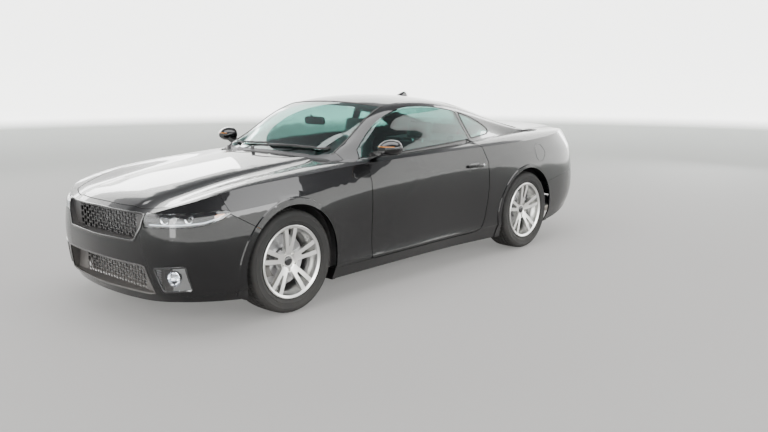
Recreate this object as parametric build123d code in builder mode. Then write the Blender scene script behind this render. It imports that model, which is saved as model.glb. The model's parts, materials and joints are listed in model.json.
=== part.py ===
from build123d import *

import os

# A two-door fastback muscle car, as an assembly of separate panels and units.
#
# Frame: +X forward, +Y to the car's left, +Z up, origin on the ground under the middle of the car.
# Millimetres throughout.

os.makedirs("parts", exist_ok=True)

# ------------------------------ driving dimensions
LENGTH = 4784.0
WHEELBASE = 2720.0
FRONT_OVERHANG = 880.0
NOSE = LENGTH / 2
TAIL = -LENGTH / 2
FRONT_AXLE = NOSE - FRONT_OVERHANG
REAR_AXLE = FRONT_AXLE - WHEELBASE
HALF_TRACK_FRONT = 791.0
HALF_TRACK_REAR = 822.0
TYRE_RADIUS = 346.0
TYRE_WIDTH = 238.0
ARCH_RADIUS = 386.0
LINER_RADIUS = 398.0
UNDERSIDE = 150.0

SKIN = 5.0  # pressed outer skin
WALL = 70.0  # whole door or body side, skin to trim
CABIN_WALL = 26.0  # roof, pillars and rails
LID_DEPTH = 24.0  # hood and trunk lid with their inner frames
GLASS = 6.0
SHUT = 6.0  # gap round anything that opens
SEAM = 3.0  # gap between fixed panels
TOUCH = 0.4  # pieces that are fixed against each other
FLANGE = 14.0  # ledge that bonded glass sits on
FAR = 1300.0  # beyond the body's side in any view


def smooth(table, x):
    """Value at x of a smooth curve through (x, value) rows."""
    rows = sorted(table)
    if x <= rows[0][0]:
        return rows[0][1]
    if x >= rows[-1][0]:
        return rows[-1][1]
    span = max(i for i in range(len(rows) - 1) if rows[i][0] <= x)

    def rise(i):
        return (rows[i + 1][1] - rows[i][1]) / (rows[i + 1][0] - rows[i][0])

    def slope(i):
        if i == 0:
            return rise(0)
        if i == len(rows) - 1:
            return rise(i - 1)
        before, after = rows[i][0] - rows[i - 1][0], rows[i + 1][0] - rows[i][0]
        return (rise(i - 1) * after + rise(i) * before) / (before + after)

    (x0, y0), (x1, y1) = rows[span], rows[span + 1]
    run = x1 - x0
    t = (x - x0) / run
    start, end = slope(span) * run, slope(span + 1) * run
    return (
        (2 * t**3 - 3 * t**2 + 1) * y0
        + (t**3 - 2 * t**2 + t) * start
        + (3 * t**2 - 2 * t**3) * y1
        + (t**3 - t**2) * end
    )


# ------------------------------ body side, nose and tail
# Feature lines that run right round the body, lowest first. Each has the x of its nose and tail,
# half widths on the front corner, at the side stations and on the rear corner, and its heights.
SIDE_X = (FRONT_AXLE, 1100.0, 400.0, -400.0, REAR_AXLE, -1700.0)
FRONT_SET_BACK = (24.0, 92.0, 222.0, 420.0)
REAR_SET_BACK = (400.0, 190.0, 72.0, 20.0)
HEIGHT_X = (NOSE, FRONT_AXLE, 0.0, REAR_AXLE, TAIL)
CROWN_TOP = 1150.0
FEATURE_LINES = {
    "under": (
        2322, -2290, (330, 590, 750, 838), (880, 866, 842, 842, 886, 872),
        (850, 752, 580, 330), (UNDERSIDE,) * 5,
    ),
    "rocker": (
        2364, -2335, (340, 620, 790, 884), (934, 914, 900, 902, 944, 922),
        (886, 790, 600, 335), (232, 255, 262, 285, 330),
    ),
    "belly": (
        2391, -2389, (345, 630, 806, 900), (946, 912, 894, 900, 956, 936),
        (900, 808, 615, 340), (440, 430, 420, 440, 480),
    ),
    "waist": (
        2387, -2385, (345, 630, 806, 898), (946, 918, 906, 914, 958, 938),
        (900, 806, 610, 340), (580, 610, 620, 640, 680),
    ),
    "crease": (
        2376, -2372, (345, 616, 784, 872), (918, 902, 900, 910, 942, 916),
        (870, 778, 594, 335), (690, 770, 812, 848, 868),
    ),
    "shoulder": (
        2345, -2350, (330, 580, 722, 782), (816, 822, 842, 854, 862, 842),
        (800, 716, 556, 326), (752, 880, 936, 992, 990),
    ),
    "crown": (
        2150, -2220, (280, 480, 590, 620), (650, 660, 690, 700, 700, 680),
        (640, 580, 450, 280), (CROWN_TOP,) * 5,
    ),
}
BANDS = (("under", "rocker"), ("rocker", "belly", "waist", "crease"), ("crease", "shoulder", "crown"))


def feature_line(name, inset=0.0):
    """Left half of a feature line, nose to tail, moved into the body by inset."""
    nose, tail, front, side, rear, heights = FEATURE_LINES[name]
    shares = (0.05, 0.2, 0.55, 0.85)
    points = [(nose - inset, 0.0)]
    for back, y, share in zip(FRONT_SET_BACK, front, shares):
        points.append((nose - back - inset * (1 - 0.4 * share), y - inset * share))
    points += [(x, y - inset) for x, y in zip(SIDE_X, side)]
    for back, y, share in zip(REAR_SET_BACK, rear, reversed(shares)):
        points.append((tail + back + inset * (1 - 0.4 * share), y - inset * share))
    points.append((tail + inset, 0.0))
    lift = -12.0 if name == "under" and inset > 0 else 0.0
    table = list(zip(HEIGHT_X, heights))
    return [Vector(x, y, smooth(table, x) + lift) for x, y in points]


def line_parameters():
    """Shared spline parameters, so that every feature line bends at the same stations."""
    points = feature_line("waist")
    runs = [0.0]
    for before, after in zip(points, points[1:]):
        runs.append(runs[-1] + (after - before).length)
    return runs


def wrapper(inset=0.0):
    """Left half of the closed solid inside the body's side, nose and tail."""
    ends = [(0, 1, 0), (0, -1, 0)]
    lines = {
        name: Edge.make_spline(
            feature_line(name, inset), tangents=ends, parameters=line_parameters(), scale=False,
        )
        for name in FEATURE_LINES
    }
    sides = []
    for band in BANDS:
        sides += Shell.make_loft([Wire([lines[name]]) for name in band]).faces()
    middle = [edge for face in sides for edge in face.edges() if abs((edge @ 0.5).Y) < 0.001]
    caps = []
    for name in ("under", "crown"):
        chord = Edge.make_line(lines[name] @ 1, lines[name] @ 0)
        caps.append(Face(Wire([lines[name], chord])))
        middle.append(chord)
    return Solid(Shell(sides + caps + [Face(Wire(middle))]))


# ------------------------------ hood, fender tops and deck
CENTRE_HEIGHT = ((2500, 640), (2392, 700), (2340, 744), (2200, 796), (1900, 856), (1512, 912), (1150, 956),
                 (992, 974), (800, 985), (300, 990), (-300, 1000), (-1200, 1020), (-1700, 1032),
                 (-2150, 1036), (-2300, 1046), (-2392, 1052), (-2500, 1056))
EDGE_HEIGHT = ((2500, 600), (2392, 664), (2340, 700), (2200, 760), (1900, 838), (1512, 888), (1150, 914),
               (800, 934), (300, 950), (-300, 968), (-900, 988), (-1200, 998), (-1700, 1004),
               (-2200, 996), (-2392, 984), (-2500, 975))
DOME_WIDTH = ((2500, 300), (2340, 330), (1512, 395), (1000, 450), (300, 470), (-2500, 480))
DECK_X = (
    2500, 2392, 2280, 2100, 1850, FRONT_AXLE, 1200, 900, 500, -100, -700, -1200, -1700, -2100, -2300, -2500,
)


def deck_section(x, inset):
    """Left half of a cross section under the hood, fender tops and deck."""
    centre, edge = smooth(CENTRE_HEIGHT, x) - inset, smooth(EDGE_HEIGHT, x) - inset
    dome = smooth(DOME_WIDTH, x)
    dome_z = centre - (centre - edge) * 0.3
    roll = [
        (dome, dome_z), (640, edge + (dome_z - edge) * 0.45), (760, edge + 8), (830, edge - 12),
        (1000, edge - 130),
    ]
    top = Edge.make_spline([Vector(x, 0, centre), Vector(x, 0.5 * dome, dome_z + 0.75 * (centre - dome_z)),
                            Vector(x, dome, dome_z)])
    side = Edge.make_spline([Vector(x, y, z) for y, z in roll])
    corners = [Vector(x, 1000, edge - 130), Vector(x, 1000, 100), Vector(x, 0, 100), Vector(x, 0, centre)]
    rest = [Edge.make_line(*pair) for pair in zip(corners, corners[1:])]
    return Wire([top, side] + rest)


def deck(inset=0.0):
    return Solid.make_loft([deck_section(x, inset) for x in DECK_X])


# ------------------------------ cabin
ROOF_LINE = ((1250, 845), (992, 985), (640, 1172), (292, 1334), (90, 1371), (-110, 1381), (-400, 1369),
             (-700, 1322), (-1050, 1230), (-1400, 1126), (-1700, 1052), (-2000, 985))
ROOF_DROP = ((1250, 95), (992, 92), (640, 92), (292, 66), (90, 66), (-110, 70), (-700, 68), (-1050, 60),
             (-1400, 48), (-1700, 34), (-2000, 28))
RAIL_WIDTH = ((1250, 715), (992, 690), (640, 640), (292, 592), (90, 580), (-110, 575), (-400, 566),
              (-700, 552), (-1050, 538), (-1400, 545), (-1700, 590), (-2000, 640))
FOOT_WIDTH = ((1250, 770), (992, 782), (640, 800), (292, 812), (-110, 820), (-700, 826), (-1050, 830),
              (-1400, 820), (-1700, 785), (-2000, 750))
FOOT_FLARE = (
    (1250, 0), (292, -12), (-400, -12), (-700, 0), (-1050, 30), (-1400, 48), (-1700, 45), (-2000, 40),
)
CABIN_FOOT = 850.0
CABIN_X = tuple(row[0] for row in ROOF_LINE)


def cabin_section(x, inset):
    """Left half of a cross section of the cabin."""
    top, drop = smooth(ROOF_LINE, x) - inset, smooth(ROOF_DROP, x)
    rail, foot = smooth(RAIL_WIDTH, x) - inset, smooth(FOOT_WIDTH, x) - inset
    flare = smooth(FOOT_FLARE, x)
    low = min(CABIN_FOOT, smooth(ROOF_LINE, x) - drop - 60)
    half = [(0, top), (0.25 * rail, top - 0.04 * drop), (0.5 * rail, top - 0.17 * drop)]
    half += [(0.84 * rail, top - 0.55 * drop), (rail, top - drop)]
    for share in (0.3, 0.7):
        pull = flare * 4 * share * (1 - share)
        across = rail + (foot - rail) * share - pull
        half.append((across, top - drop + (low - top + drop) * share - pull * 0.3))
    half.append((foot, low))
    base = low - (20 if inset > 0 else 10)
    corners = [Vector(x, foot, low), Vector(x, foot, base), Vector(x, 0, base), Vector(x, 0, top)]
    rest = [Edge.make_line(*pair) for pair in zip(corners, corners[1:])]
    return Wire([Edge.make_spline([Vector(x, y, z) for y, z in half])] + rest)


def cabin(inset=0.0):
    return Solid.make_loft([cabin_section(x, inset) for x in CABIN_X])


# ------------------------------ blocks that cut the body into panels
def grown(outline, amount):
    """Face of an outline with its edge moved out by an amount, or in where it is negative."""
    if amount == 0:
        return outline.sketch_local.face()
    with BuildSketch() as wider:
        add(outline.sketch_local)
        offset(amount=amount, kind=Kind.ARC, mode=Mode.REPLACE)
    old = wider.sketch.face().outer_wire().order_edges()
    edges = []
    for edge, following in zip(old, old[1:] + old[:1]):
        start = edges[-1] @ 1 if edges else old[-1] @ 1
        end = edge @ 1 if following is not old[0] else (edges[0] @ 0 if edges else old[-1] @ 1)
        if edge.geom_type == GeomType.LINE or edge.length < 0.5:
            edges.append(Edge.make_line(start, end))
        elif edge.geom_type == GeomType.CIRCLE:
            edges.append(Edge.make_three_point_arc(start, edge @ 0.5, end))
        else:
            points = [start] + [edge @ (i / 16) for i in range(1, 16)] + [end]
            edges.append(Edge.make_spline(points, tangents=[edge % 0, edge % 1], scale=False))
    return Face(Wire(edges))


def side_block(outline, grow=0.0, inner=0.0, outer=FAR):
    """Block over an outline seen from the side, between y = inner and y = outer."""
    with BuildPart() as block:
        with BuildSketch(Plane.XZ.offset(-outer)):
            add(grown(outline, grow))
        extrude(amount=outer - inner)
    return block.part


def plan_block(outline, grow=0.0, low=0.0, high=1500.0):
    """Block over an outline seen from above, between two heights."""
    with BuildPart() as block:
        with BuildSketch(Plane.XY.offset(low)):
            add(grown(outline, grow))
        extrude(amount=high - low)
    return block.part


def front_block(outline, grow=0.0, rear=0.0, front=2600.0):
    """Block over an outline seen from ahead, between two stations."""
    with BuildPart() as block:
        with BuildSketch(Plane.YZ.offset(rear)):
            add(grown(outline, grow))
        extrude(amount=front - rear)
    return block.part


def outline_of(*runs):
    """Closed outline from runs of points: a run of two is a line, a longer one a smooth curve."""
    with BuildSketch() as sketch:
        with BuildLine():
            for run in runs:
                if len(run) == 2:
                    Line(*run)
                else:
                    Spline(*run)
        make_face()
    return sketch


def both_sides(run):
    """A run over the left half, from the centre line, carried over to the right half."""
    return [(x, -y) for x, y in reversed(run)] + list(run[1:])


# ------------------------------ outlines
# belt: where doors and quarter panels end and the side glass begins
BELT_FRONT, BELT_REAR = (742.0, 950.0), (-1010.0, 1030.0)
DOOR_FRONT, DOOR_REAR = 756.0, -600.0


def belt_height(x):
    share = (x - BELT_FRONT[0]) / (BELT_REAR[0] - BELT_FRONT[0])
    return BELT_FRONT[1] + share * (BELT_REAR[1] - BELT_FRONT[1])


door_outline = outline_of(
    ((DOOR_FRONT - 46, belt_height(DOOR_FRONT)), (DOOR_FRONT - 14, 862), (DOOR_FRONT, 740)),
    ((DOOR_FRONT, 740), (DOOR_FRONT, 264)),
    ((DOOR_FRONT, 264), (DOOR_FRONT - 7, 246), (DOOR_FRONT - 25, 238)),
    ((DOOR_FRONT - 25, 238), (DOOR_REAR + 120, 248)),
    (
        (DOOR_REAR + 120, 248), (DOOR_REAR + 30, 285), (DOOR_REAR - 25, 440), (DOOR_REAR - 40, 700),
        (DOOR_REAR, belt_height(DOOR_REAR)),
    ),
    ((DOOR_REAR, belt_height(DOOR_REAR)), (DOOR_FRONT - 46, belt_height(DOOR_FRONT))),
)
# side glass: the door's pane, then the quarter pane behind the pillar
PILLAR = -612.0
door_glass_outline = outline_of(
    ((706, belt_height(706)), (PILLAR, belt_height(PILLAR))),
    ((PILLAR, belt_height(PILLAR)), (PILLAR + 40, 1236)),
    ((PILLAR + 40, 1236), (-350, 1272), (-80, 1288), (120, 1281), (300, 1240), (600, 1074), (690, 1004)),
    ((690, 1004), (706, belt_height(706))),
)
quarter_glass_outline = outline_of(
    ((PILLAR - 46, belt_height(PILLAR - 46)), (-985, belt_height(-985))),
    ((-985, belt_height(-985)), (-1045, 1062), (-1000, 1098)),
    ((-1000, 1098), (-900, 1146), (-760, 1194), (PILLAR - 8, 1228)),
    ((PILLAR - 8, 1228), (PILLAR - 46, belt_height(PILLAR - 46))),
)
windshield_outline = outline_of(
    both_sides([(984, 0), (955, 340), (872, 610)]),
    ((872, 610), (256, 520)),
    [(x, y) for x, y in both_sides([(304, 0), (294, 300), (256, 520)])][::-1],
    ((256, -520), (872, -610)),
)
rear_window_outline = outline_of(
    both_sides([(-662, 0), (-655, 280), (-640, 452)]),
    ((-640, 452), (-1150, 462), (-1600, 545)),
    both_sides([(-1722, 0), (-1700, 300), (-1600, 545)])[::-1],
    ((-1600, -545), (-1150, -462), (-640, -452)),
)
roof_outline = outline_of(
    ((330, -528), (330, 528)),
    ((330, 528), (-110, 512), (-690, 478)),
    ((-690, 478), (-690, -478)),
    ((-690, -478), (-110, -512), (330, -528)),
)
hood_outline = outline_of(
    both_sides([(1034, 0), (1004, 380), (905, 690)]),
    ((905, 690), (FRONT_AXLE, 702), (2000, 655), (2222, 560)),
    both_sides([(2318, 0), (2296, 330), (2222, 560)])[::-1],
    ((2222, -560), (2000, -655), (FRONT_AXLE, -702), (905, -690)),
)
# the cowl runs on under the lower edge of the windshield, which rests on it
cowl_outline = outline_of(
    both_sides([(968, 0), (939, 338), (856, 604)]),
    ((856, 604), (836, 690)),
    ((836, 690), (905 - SHUT, 690)),
    both_sides([(1034 - SHUT, 0), (1004 - SHUT, 380), (905 - SHUT, 690)])[::-1],
    ((905 - SHUT, -690), (836, -690)),
    ((836, -690), (856, -604)),
)
LID_EDGE, LID_FRONT = 575.0, -1752.0
lid_outline = outline_of(
    both_sides([(LID_FRONT, 0), (LID_FRONT + 18, 300), (-1668, LID_EDGE)]),
    ((-1668, LID_EDGE), (-2310, LID_EDGE)),
    ((-2310, LID_EDGE), (-2310, -LID_EDGE)),
    ((-2310, -LID_EDGE), (-1668, -LID_EDGE)),
)
# strip of body between the rear window and the trunk lid
deck_outline = outline_of(
    ((-1800, -430), (-1640, -430)),
    ((-1640, -430), (-1640, 430)),
    ((-1640, 430), (-1800, 430)),
    ((-1800, 430), (-1800, -430)),
)
LAMP_INNER = 455.0
lid_face_outline = outline_of(
    ((-LAMP_INNER + 8, 1200), (LAMP_INNER - 8, 1200)),
    ((LAMP_INNER - 8, 1200), (LAMP_INNER - 8, 824)),
    ((LAMP_INNER - 8, 824), (-LAMP_INNER + 8, 824)),
    ((-LAMP_INNER + 8, 824), (-LAMP_INNER + 8, 1200)),
)
tail_lamp_outline = outline_of(
    ((LAMP_INNER, 852), (LAMP_INNER + 12, 962)),
    ((LAMP_INNER + 12, 962), (800, 958)),
    ((800, 958), (830, 935), (828, 880)),
    ((828, 880), (815, 850)),
    ((815, 850), (LAMP_INNER, 852)),
)
headlamp_outline = outline_of(
    ((2500, 628), (2262, 650)),
    ((2262, 650), (2120, 668), (1972, 722)),
    ((1972, 722), (1968, 744)),
    ((1968, 744), (2130, 738), (2500, 706)),
    ((2500, 706), (2500, 628)),
)
# everything ahead of the front fender, and behind and below the quarter panel
front_bumper_outline = outline_of(
    ((FRONT_AXLE + 200, 100), (2600, 100)),
    ((2600, 100), (2600, 900)),
    ((2600, 900), (1968 + SEAM, 900)),
    ((1968 + SEAM, 900), (1968 + SEAM, 720)),
    ((1968 + SEAM, 720), (FRONT_AXLE + 200, 560)),
    ((FRONT_AXLE + 200, 560), (FRONT_AXLE + 200, 100)),
)
rear_bumper_outline = outline_of(
    ((REAR_AXLE - 200, 190), (REAR_AXLE - 200, 560)),
    ((REAR_AXLE - 200, 560), (-2080, 640)),
    ((-2080, 640), (-2250, 812)),
    ((-2250, 812), (-2600, 830)),
    ((-2600, 830), (-2600, 296)),
    ((-2600, 296), (-2080, 296), (-1700, 210), (REAR_AXLE - 200, 190)),
)
upper_grille_outline = outline_of(
    ((-470, 718), (470, 718)),
    ((470, 718), (452, 640), (392, 548)),
    ((392, 548), (-392, 548)),
    ((-392, 548), (-452, 640), (-470, 718)),
)
lower_grille_outline = outline_of(
    ((-470, 400), (470, 400)),
    ((470, 400), (520, 222)),
    ((520, 222), (-520, 222)),
    ((-520, 222), (-470, 400)),
)
fog_lamp_outline = outline_of(
    ((560, 388), (742, 410)),
    ((742, 410), (752, 270)),
    ((752, 270), (600, 250)),
    ((600, 250), (560, 388)),
)
fender_outline = outline_of(
    ((DOOR_FRONT + SHUT, 237), (1180, 237)),
    ((1180, 237), (FRONT_AXLE, 700)),
    ((FRONT_AXLE, 700), (FRONT_AXLE + 200, 560 + SEAM)),
    ((FRONT_AXLE + 200, 560 + SEAM), (1968, 720 + SEAM)),
    ((1968, 720 + SEAM), (1968, 1000)),
    ((1968, 1000), (DOOR_FRONT - 66, 1000)),
    (
        (DOOR_FRONT - 66, 1000), (DOOR_FRONT - 46 + SHUT, belt_height(DOOR_FRONT)),
        (DOOR_FRONT - 14 + SHUT, 862),
        (DOOR_FRONT + SHUT, 740),
    ),
    ((DOOR_FRONT + SHUT, 740), (DOOR_FRONT + SHUT, 237)),
)

body_side_outline = outline_of(
    ((-2600, 100), (1140, 100)),
    ((1140, 100), (1140, 237 - SEAM)),
    ((1140, 237 - SEAM), (DOOR_FRONT - 1, 237 - SEAM)),
    ((DOOR_FRONT - 1, 237 - SEAM), (DOOR_FRONT - 1, 870)),
    ((DOOR_FRONT - 1, 870), (1100, 900)),
    ((1100, 900), (1100, 1500)),
    ((1100, 1500), (-2600, 1500)),
    ((-2600, 1500), (-2600, 100)),
)

# ------------------------------ masters
# Only the left half is modelled; pieces that cross the middle are mirrored and joined.
FLARE = 9.0


def arch_blocks(radius, inner_radius_gain=0.0, inner=480.0, outer=1000.0):
    """Round blocks over both left wheels, wider towards the inside if a gain is given."""
    with BuildPart() as blocks:
        for axle in (FRONT_AXLE, REAR_AXLE):
            with BuildSketch(Plane.XZ.offset(-outer)):
                with Locations((axle, TYRE_RADIUS)):
                    Circle(radius)
            with BuildSketch(Plane.XZ.offset(-inner)):
                with Locations((axle, TYRE_RADIUS)):
                    Circle(radius + inner_radius_gain)
            loft()
    return blocks.part


with BuildPart() as flares:
    add(wrapper(-FLARE))
    add(arch_blocks(ARCH_RADIUS + 8, 60, inner=860), mode=Mode.INTERSECT)

with BuildPart() as plain_body:
    add(wrapper())
    add(deck(), mode=Mode.INTERSECT)

with BuildPart() as body:
    add(plain_body.part)
    add(flares.part)
    add(cabin())

with BuildPart() as inside_skin:
    add(wrapper(SKIN))
    add(deck(SKIN), mode=Mode.INTERSECT)
    add(cabin(CABIN_WALL))

with BuildPart() as inside_wall:
    add(wrapper(WALL))
    add(deck(CABIN_WALL), mode=Mode.INTERSECT)
    add(cabin(CABIN_WALL))

with BuildPart() as cavity:
    add(wrapper(WALL + TOUCH))
    add(deck(CABIN_WALL + TOUCH), mode=Mode.INTERSECT)
    add(cabin(CABIN_WALL + TOUCH))

with BuildPart() as behind_skin:
    add(wrapper(SKIN + TOUCH))
    add(deck(SKIN + TOUCH), mode=Mode.INTERSECT)

with BuildPart() as under_lids:
    add(wrapper(LID_DEPTH))
    add(deck(LID_DEPTH), mode=Mode.INTERSECT)

with BuildPart() as skin:
    add(body.part)
    add([inside_skin.part, arch_blocks(ARCH_RADIUS)], mode=Mode.SUBTRACT)

with BuildPart() as wall:
    add(body.part)
    add([inside_wall.part, arch_blocks(ARCH_RADIUS)], mode=Mode.SUBTRACT)


def box_block(x_range, y_range, z_range):
    """Plain block between two values on each axis."""
    with BuildPart() as block:
        with BuildSketch(Plane.XY.offset(z_range[0])):
            with Locations(((x_range[0] + x_range[1]) / 2, (y_range[0] + y_range[1]) / 2)):
                Rectangle(x_range[1] - x_range[0], y_range[1] - y_range[0])
        extrude(amount=z_range[1] - z_range[0])
    return block.part


def glass_pane(block):
    """Pane of glass in the cabin's surface, inside a block."""
    with BuildPart() as pane:
        add(cabin())
        add(block, mode=Mode.INTERSECT)
        add(cabin(GLASS), mode=Mode.SUBTRACT)
    return pane.part


def glass_pocket(block):
    """What a bonded pane takes away from the body, down to the ledge that it sits on."""
    with BuildPart() as pocket:
        add(block)
        add(cabin(GLASS + TOUCH), mode=Mode.SUBTRACT)
        add(box_block((-2600, 2600), (-1300, -0.5), (0, 1700)), mode=Mode.SUBTRACT)
    return pocket.part


windshield_room = [
    glass_pocket(plan_block(windshield_outline, grow=SEAM, low=900)),
    plan_block(windshield_outline, grow=-FLANGE, low=880, high=1520),
]
rear_window_room = [
    glass_pocket(plan_block(rear_window_outline, grow=SEAM, low=900)),
    plan_block(rear_window_outline, grow=-FLANGE, low=880, high=1520),
]
side_glass_room = [
    glass_pocket(side_block(quarter_glass_outline, grow=SEAM, inner=300)),
    side_block(quarter_glass_outline, grow=-FLANGE, inner=280, outer=FAR + 20),
    side_block(door_glass_outline, grow=SHUT + 1, inner=280),
]

# ------------------------------ glass
with BuildPart() as windshield:
    add(glass_pane(plan_block(windshield_outline, low=900)))
    mirror(about=Plane.XZ)
windshield.part.label = "windshield"
export_step(windshield.part, "parts/windshield.step")

with BuildPart() as rear_window:
    add(glass_pane(plan_block(rear_window_outline, low=900)))
    mirror(about=Plane.XZ)
rear_window.part.label = "rear_window"
export_step(rear_window.part, "parts/rear_window.step")

with BuildPart() as door_glass_left:
    add(glass_pane(side_block(door_glass_outline, inner=300)))
door_glass_left.part.label = "door_glass_left"
export_step(door_glass_left.part, "parts/door_glass_left.step")

with BuildPart() as door_glass_right:
    mirror(door_glass_left.part, about=Plane.XZ)
door_glass_right.part.label = "door_glass_right"
export_step(door_glass_right.part, "parts/door_glass_right.step")

with BuildPart() as quarter_windows:
    add(glass_pane(side_block(quarter_glass_outline, inner=300)))
    mirror(about=Plane.XZ)
quarter_windows.part.label = "quarter_windows"
export_step(quarter_windows.part, "parts/quarter_windows.step")

# ------------------------------ panels that open
with BuildPart() as hood:
    add(plain_body.part)
    add(plan_block(hood_outline, low=560), mode=Mode.INTERSECT)
    add(deck(LID_DEPTH), mode=Mode.SUBTRACT)
    add(deck(SKIN).intersect(plan_block(hood_outline, grow=-40.0, low=560)), mode=Mode.SUBTRACT)
    mirror(about=Plane.XZ)
hood.part.label = "hood"
export_step(hood.part, "parts/hood.step")

with BuildPart() as lid_block:
    add(plan_block(lid_outline, low=976))
    add(front_block(lid_face_outline, rear=-2600, front=-2200))

with BuildPart() as lid_room:
    add(plan_block(lid_outline, grow=SHUT, low=976 - SHUT))
    add(front_block(lid_face_outline, grow=SHUT, rear=-2620, front=-2200 + SHUT))

with BuildPart() as trunk_lid:
    add(plain_body.part)
    add(lid_block.part, mode=Mode.INTERSECT)
    add(under_lids.part, mode=Mode.SUBTRACT)
    mirror(about=Plane.XZ)
trunk_lid.part.label = "trunk_lid"
export_step(trunk_lid.part, "parts/trunk_lid.step")

# A door turns about a line near its front skin, so the inner part of its rear edge swings back before
# it swings out. That edge steps forward towards the cabin, to clear the jamb by 5 mm all the way.
DOOR_EDGE_STEPS = ((868.0, 3.5), (805.0, 9.5), (740.0, 17.5))
door_edge_strips = []
for strip_outer, step_forward in DOOR_EDGE_STEPS:
    kept = side_block(door_outline, inner=540, outer=strip_outer + 10).moved(Location((step_forward, 0, 0)))
    strip = side_block(door_outline, grow=2.0, inner=560, outer=strip_outer) - kept
    door_edge_strips.append(strip & box_block((-700, -450), (500, 900), (200, 1100)))

with BuildPart() as door_left:
    add(wall.part)
    add(side_block(door_outline, inner=560), mode=Mode.INTERSECT)
    add(door_edge_strips, mode=Mode.SUBTRACT)
    add(cabin(-0.5).intersect(side_block(door_glass_outline, grow=1.0, inner=300)), mode=Mode.SUBTRACT)
door_left.part.label = "door_left"
export_step(door_left.part, "parts/door_left.step")

with BuildPart() as door_right:
    mirror(door_left.part, about=Plane.XZ)
door_right.part.label = "door_right"
export_step(door_right.part, "parts/door_right.step")

# ------------------------------ fixed panels
with BuildPart() as fender_left:
    add(skin.part)
    add(side_block(fender_outline, inner=400), mode=Mode.INTERSECT)
    neighbours = [
        plan_block(hood_outline, grow=SHUT, low=500),
        plan_block(cowl_outline, grow=SEAM, low=500),
        side_block(headlamp_outline, grow=1.5, inner=478),
        cabin(-SEAM),
    ]
    add(neighbours, mode=Mode.SUBTRACT)
fender_left.part.label = "fender_left"
export_step(fender_left.part, "parts/fender_left.step")

with BuildPart() as fender_right:
    mirror(fender_left.part, about=Plane.XZ)
fender_right.part.label = "fender_right"
export_step(fender_right.part, "parts/fender_right.step")

with BuildPart() as cowl:
    add(body.part)
    add(plan_block(cowl_outline, low=800), mode=Mode.INTERSECT)
    add([inside_wall.part, *windshield_room], mode=Mode.SUBTRACT)
    mirror(about=Plane.XZ)
cowl.part.label = "cowl"
export_step(cowl.part, "parts/cowl.step")

with BuildPart() as roof_panel:
    add(wall.part)
    add(plan_block(roof_outline, low=1150), mode=Mode.INTERSECT)
    add([*windshield_room, *rear_window_room], mode=Mode.SUBTRACT)
    mirror(about=Plane.XZ)
roof_panel.part.label = "roof_panel"
export_step(roof_panel.part, "parts/roof_panel.step")

with BuildPart() as rear_deck:
    add(wall.part)
    add(plan_block(deck_outline, low=880), mode=Mode.INTERSECT)
    add([*rear_window_room, lid_room.part], mode=Mode.SUBTRACT)
    mirror(about=Plane.XZ)
rear_deck.part.label = "rear_deck"
export_step(rear_deck.part, "parts/rear_deck.step")

with BuildPart() as body_side_left:
    add(wall.part)
    add(side_block(body_side_outline), mode=Mode.INTERSECT)
    neighbours = [
        side_block(fender_outline, grow=SEAM, inner=400) - cabin(),
        plan_block(hood_outline, grow=SHUT, low=500),
        plan_block(cowl_outline, grow=SEAM, low=500),
        plan_block(roof_outline, grow=SEAM, low=1150),
        plan_block(deck_outline, grow=SEAM, low=880),
        box_block((-2600, REAR_AXLE - 250), (-10, 1000), (100, 350)),
        box_block((830, 1200), (-10, 560), (880, 1060)),
        side_block(rear_bumper_outline, grow=SEAM, inner=-10),
        *windshield_room,
        *rear_window_room,
        *side_glass_room,
        side_block(door_outline, grow=SHUT + 1, inner=560),
        lid_room.part,
        front_block(tail_lamp_outline, grow=1.5, rear=-2600, front=-2200),
    ]
    add(neighbours, mode=Mode.SUBTRACT)
body_side_left.part.label = "body_side_left"
export_step(body_side_left.part, "parts/body_side_left.step")

with BuildPart() as body_side_right:
    mirror(body_side_left.part, about=Plane.XZ)
body_side_right.part.label = "body_side_right"
export_step(body_side_right.part, "parts/body_side_right.step")

with BuildPart() as front_bumper:
    add(skin.part)
    add(side_block(front_bumper_outline, inner=-10), mode=Mode.INTERSECT)
    neighbours = [
        plan_block(hood_outline, grow=SHUT, low=500),
        side_block(headlamp_outline, grow=1.5, inner=478),
        front_block(upper_grille_outline, rear=1700),
        front_block(lower_grille_outline, rear=1700),
        front_block(fog_lamp_outline, grow=1.5, rear=1900),
    ]
    add(neighbours, mode=Mode.SUBTRACT)
    mirror(about=Plane.XZ)
front_bumper.part.label = "front_bumper"
export_step(front_bumper.part, "parts/front_bumper.step")

with BuildPart() as rear_bumper:
    add(skin.part)
    add(side_block(rear_bumper_outline, inner=-10), mode=Mode.INTERSECT)
    add(lid_room.part, mode=Mode.SUBTRACT)
    mirror(about=Plane.XZ)
rear_bumper.part.label = "rear_bumper"
export_step(rear_bumper.part, "parts/rear_bumper.step")

# ------------------------------ lamps and grilles
with BuildPart() as headlamps:
    add(skin.part)
    add(side_block(headlamp_outline, inner=480), mode=Mode.INTERSECT)
    mirror(about=Plane.XZ)
headlamps.part.label = "headlamps"
export_step(headlamps.part, "parts/headlamps.step")

with BuildPart() as fog_lamps:
    add(skin.part)
    add(front_block(fog_lamp_outline, rear=1900), mode=Mode.INTERSECT)
    mirror(about=Plane.XZ)
fog_lamps.part.label = "fog_lamps"
export_step(fog_lamps.part, "parts/fog_lamps.step")

with BuildPart() as tail_lamps:
    add(plain_body.part)
    add(front_block(tail_lamp_outline, rear=-2600, front=-2200), mode=Mode.INTERSECT)
    add(under_lids.part, mode=Mode.SUBTRACT)
    mirror(about=Plane.XZ)
tail_lamps.part.label = "tail_lamps"
export_step(tail_lamps.part, "parts/tail_lamps.step")

MESH_PITCH, MESH_WALL = 42.0, 6.0


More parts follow.
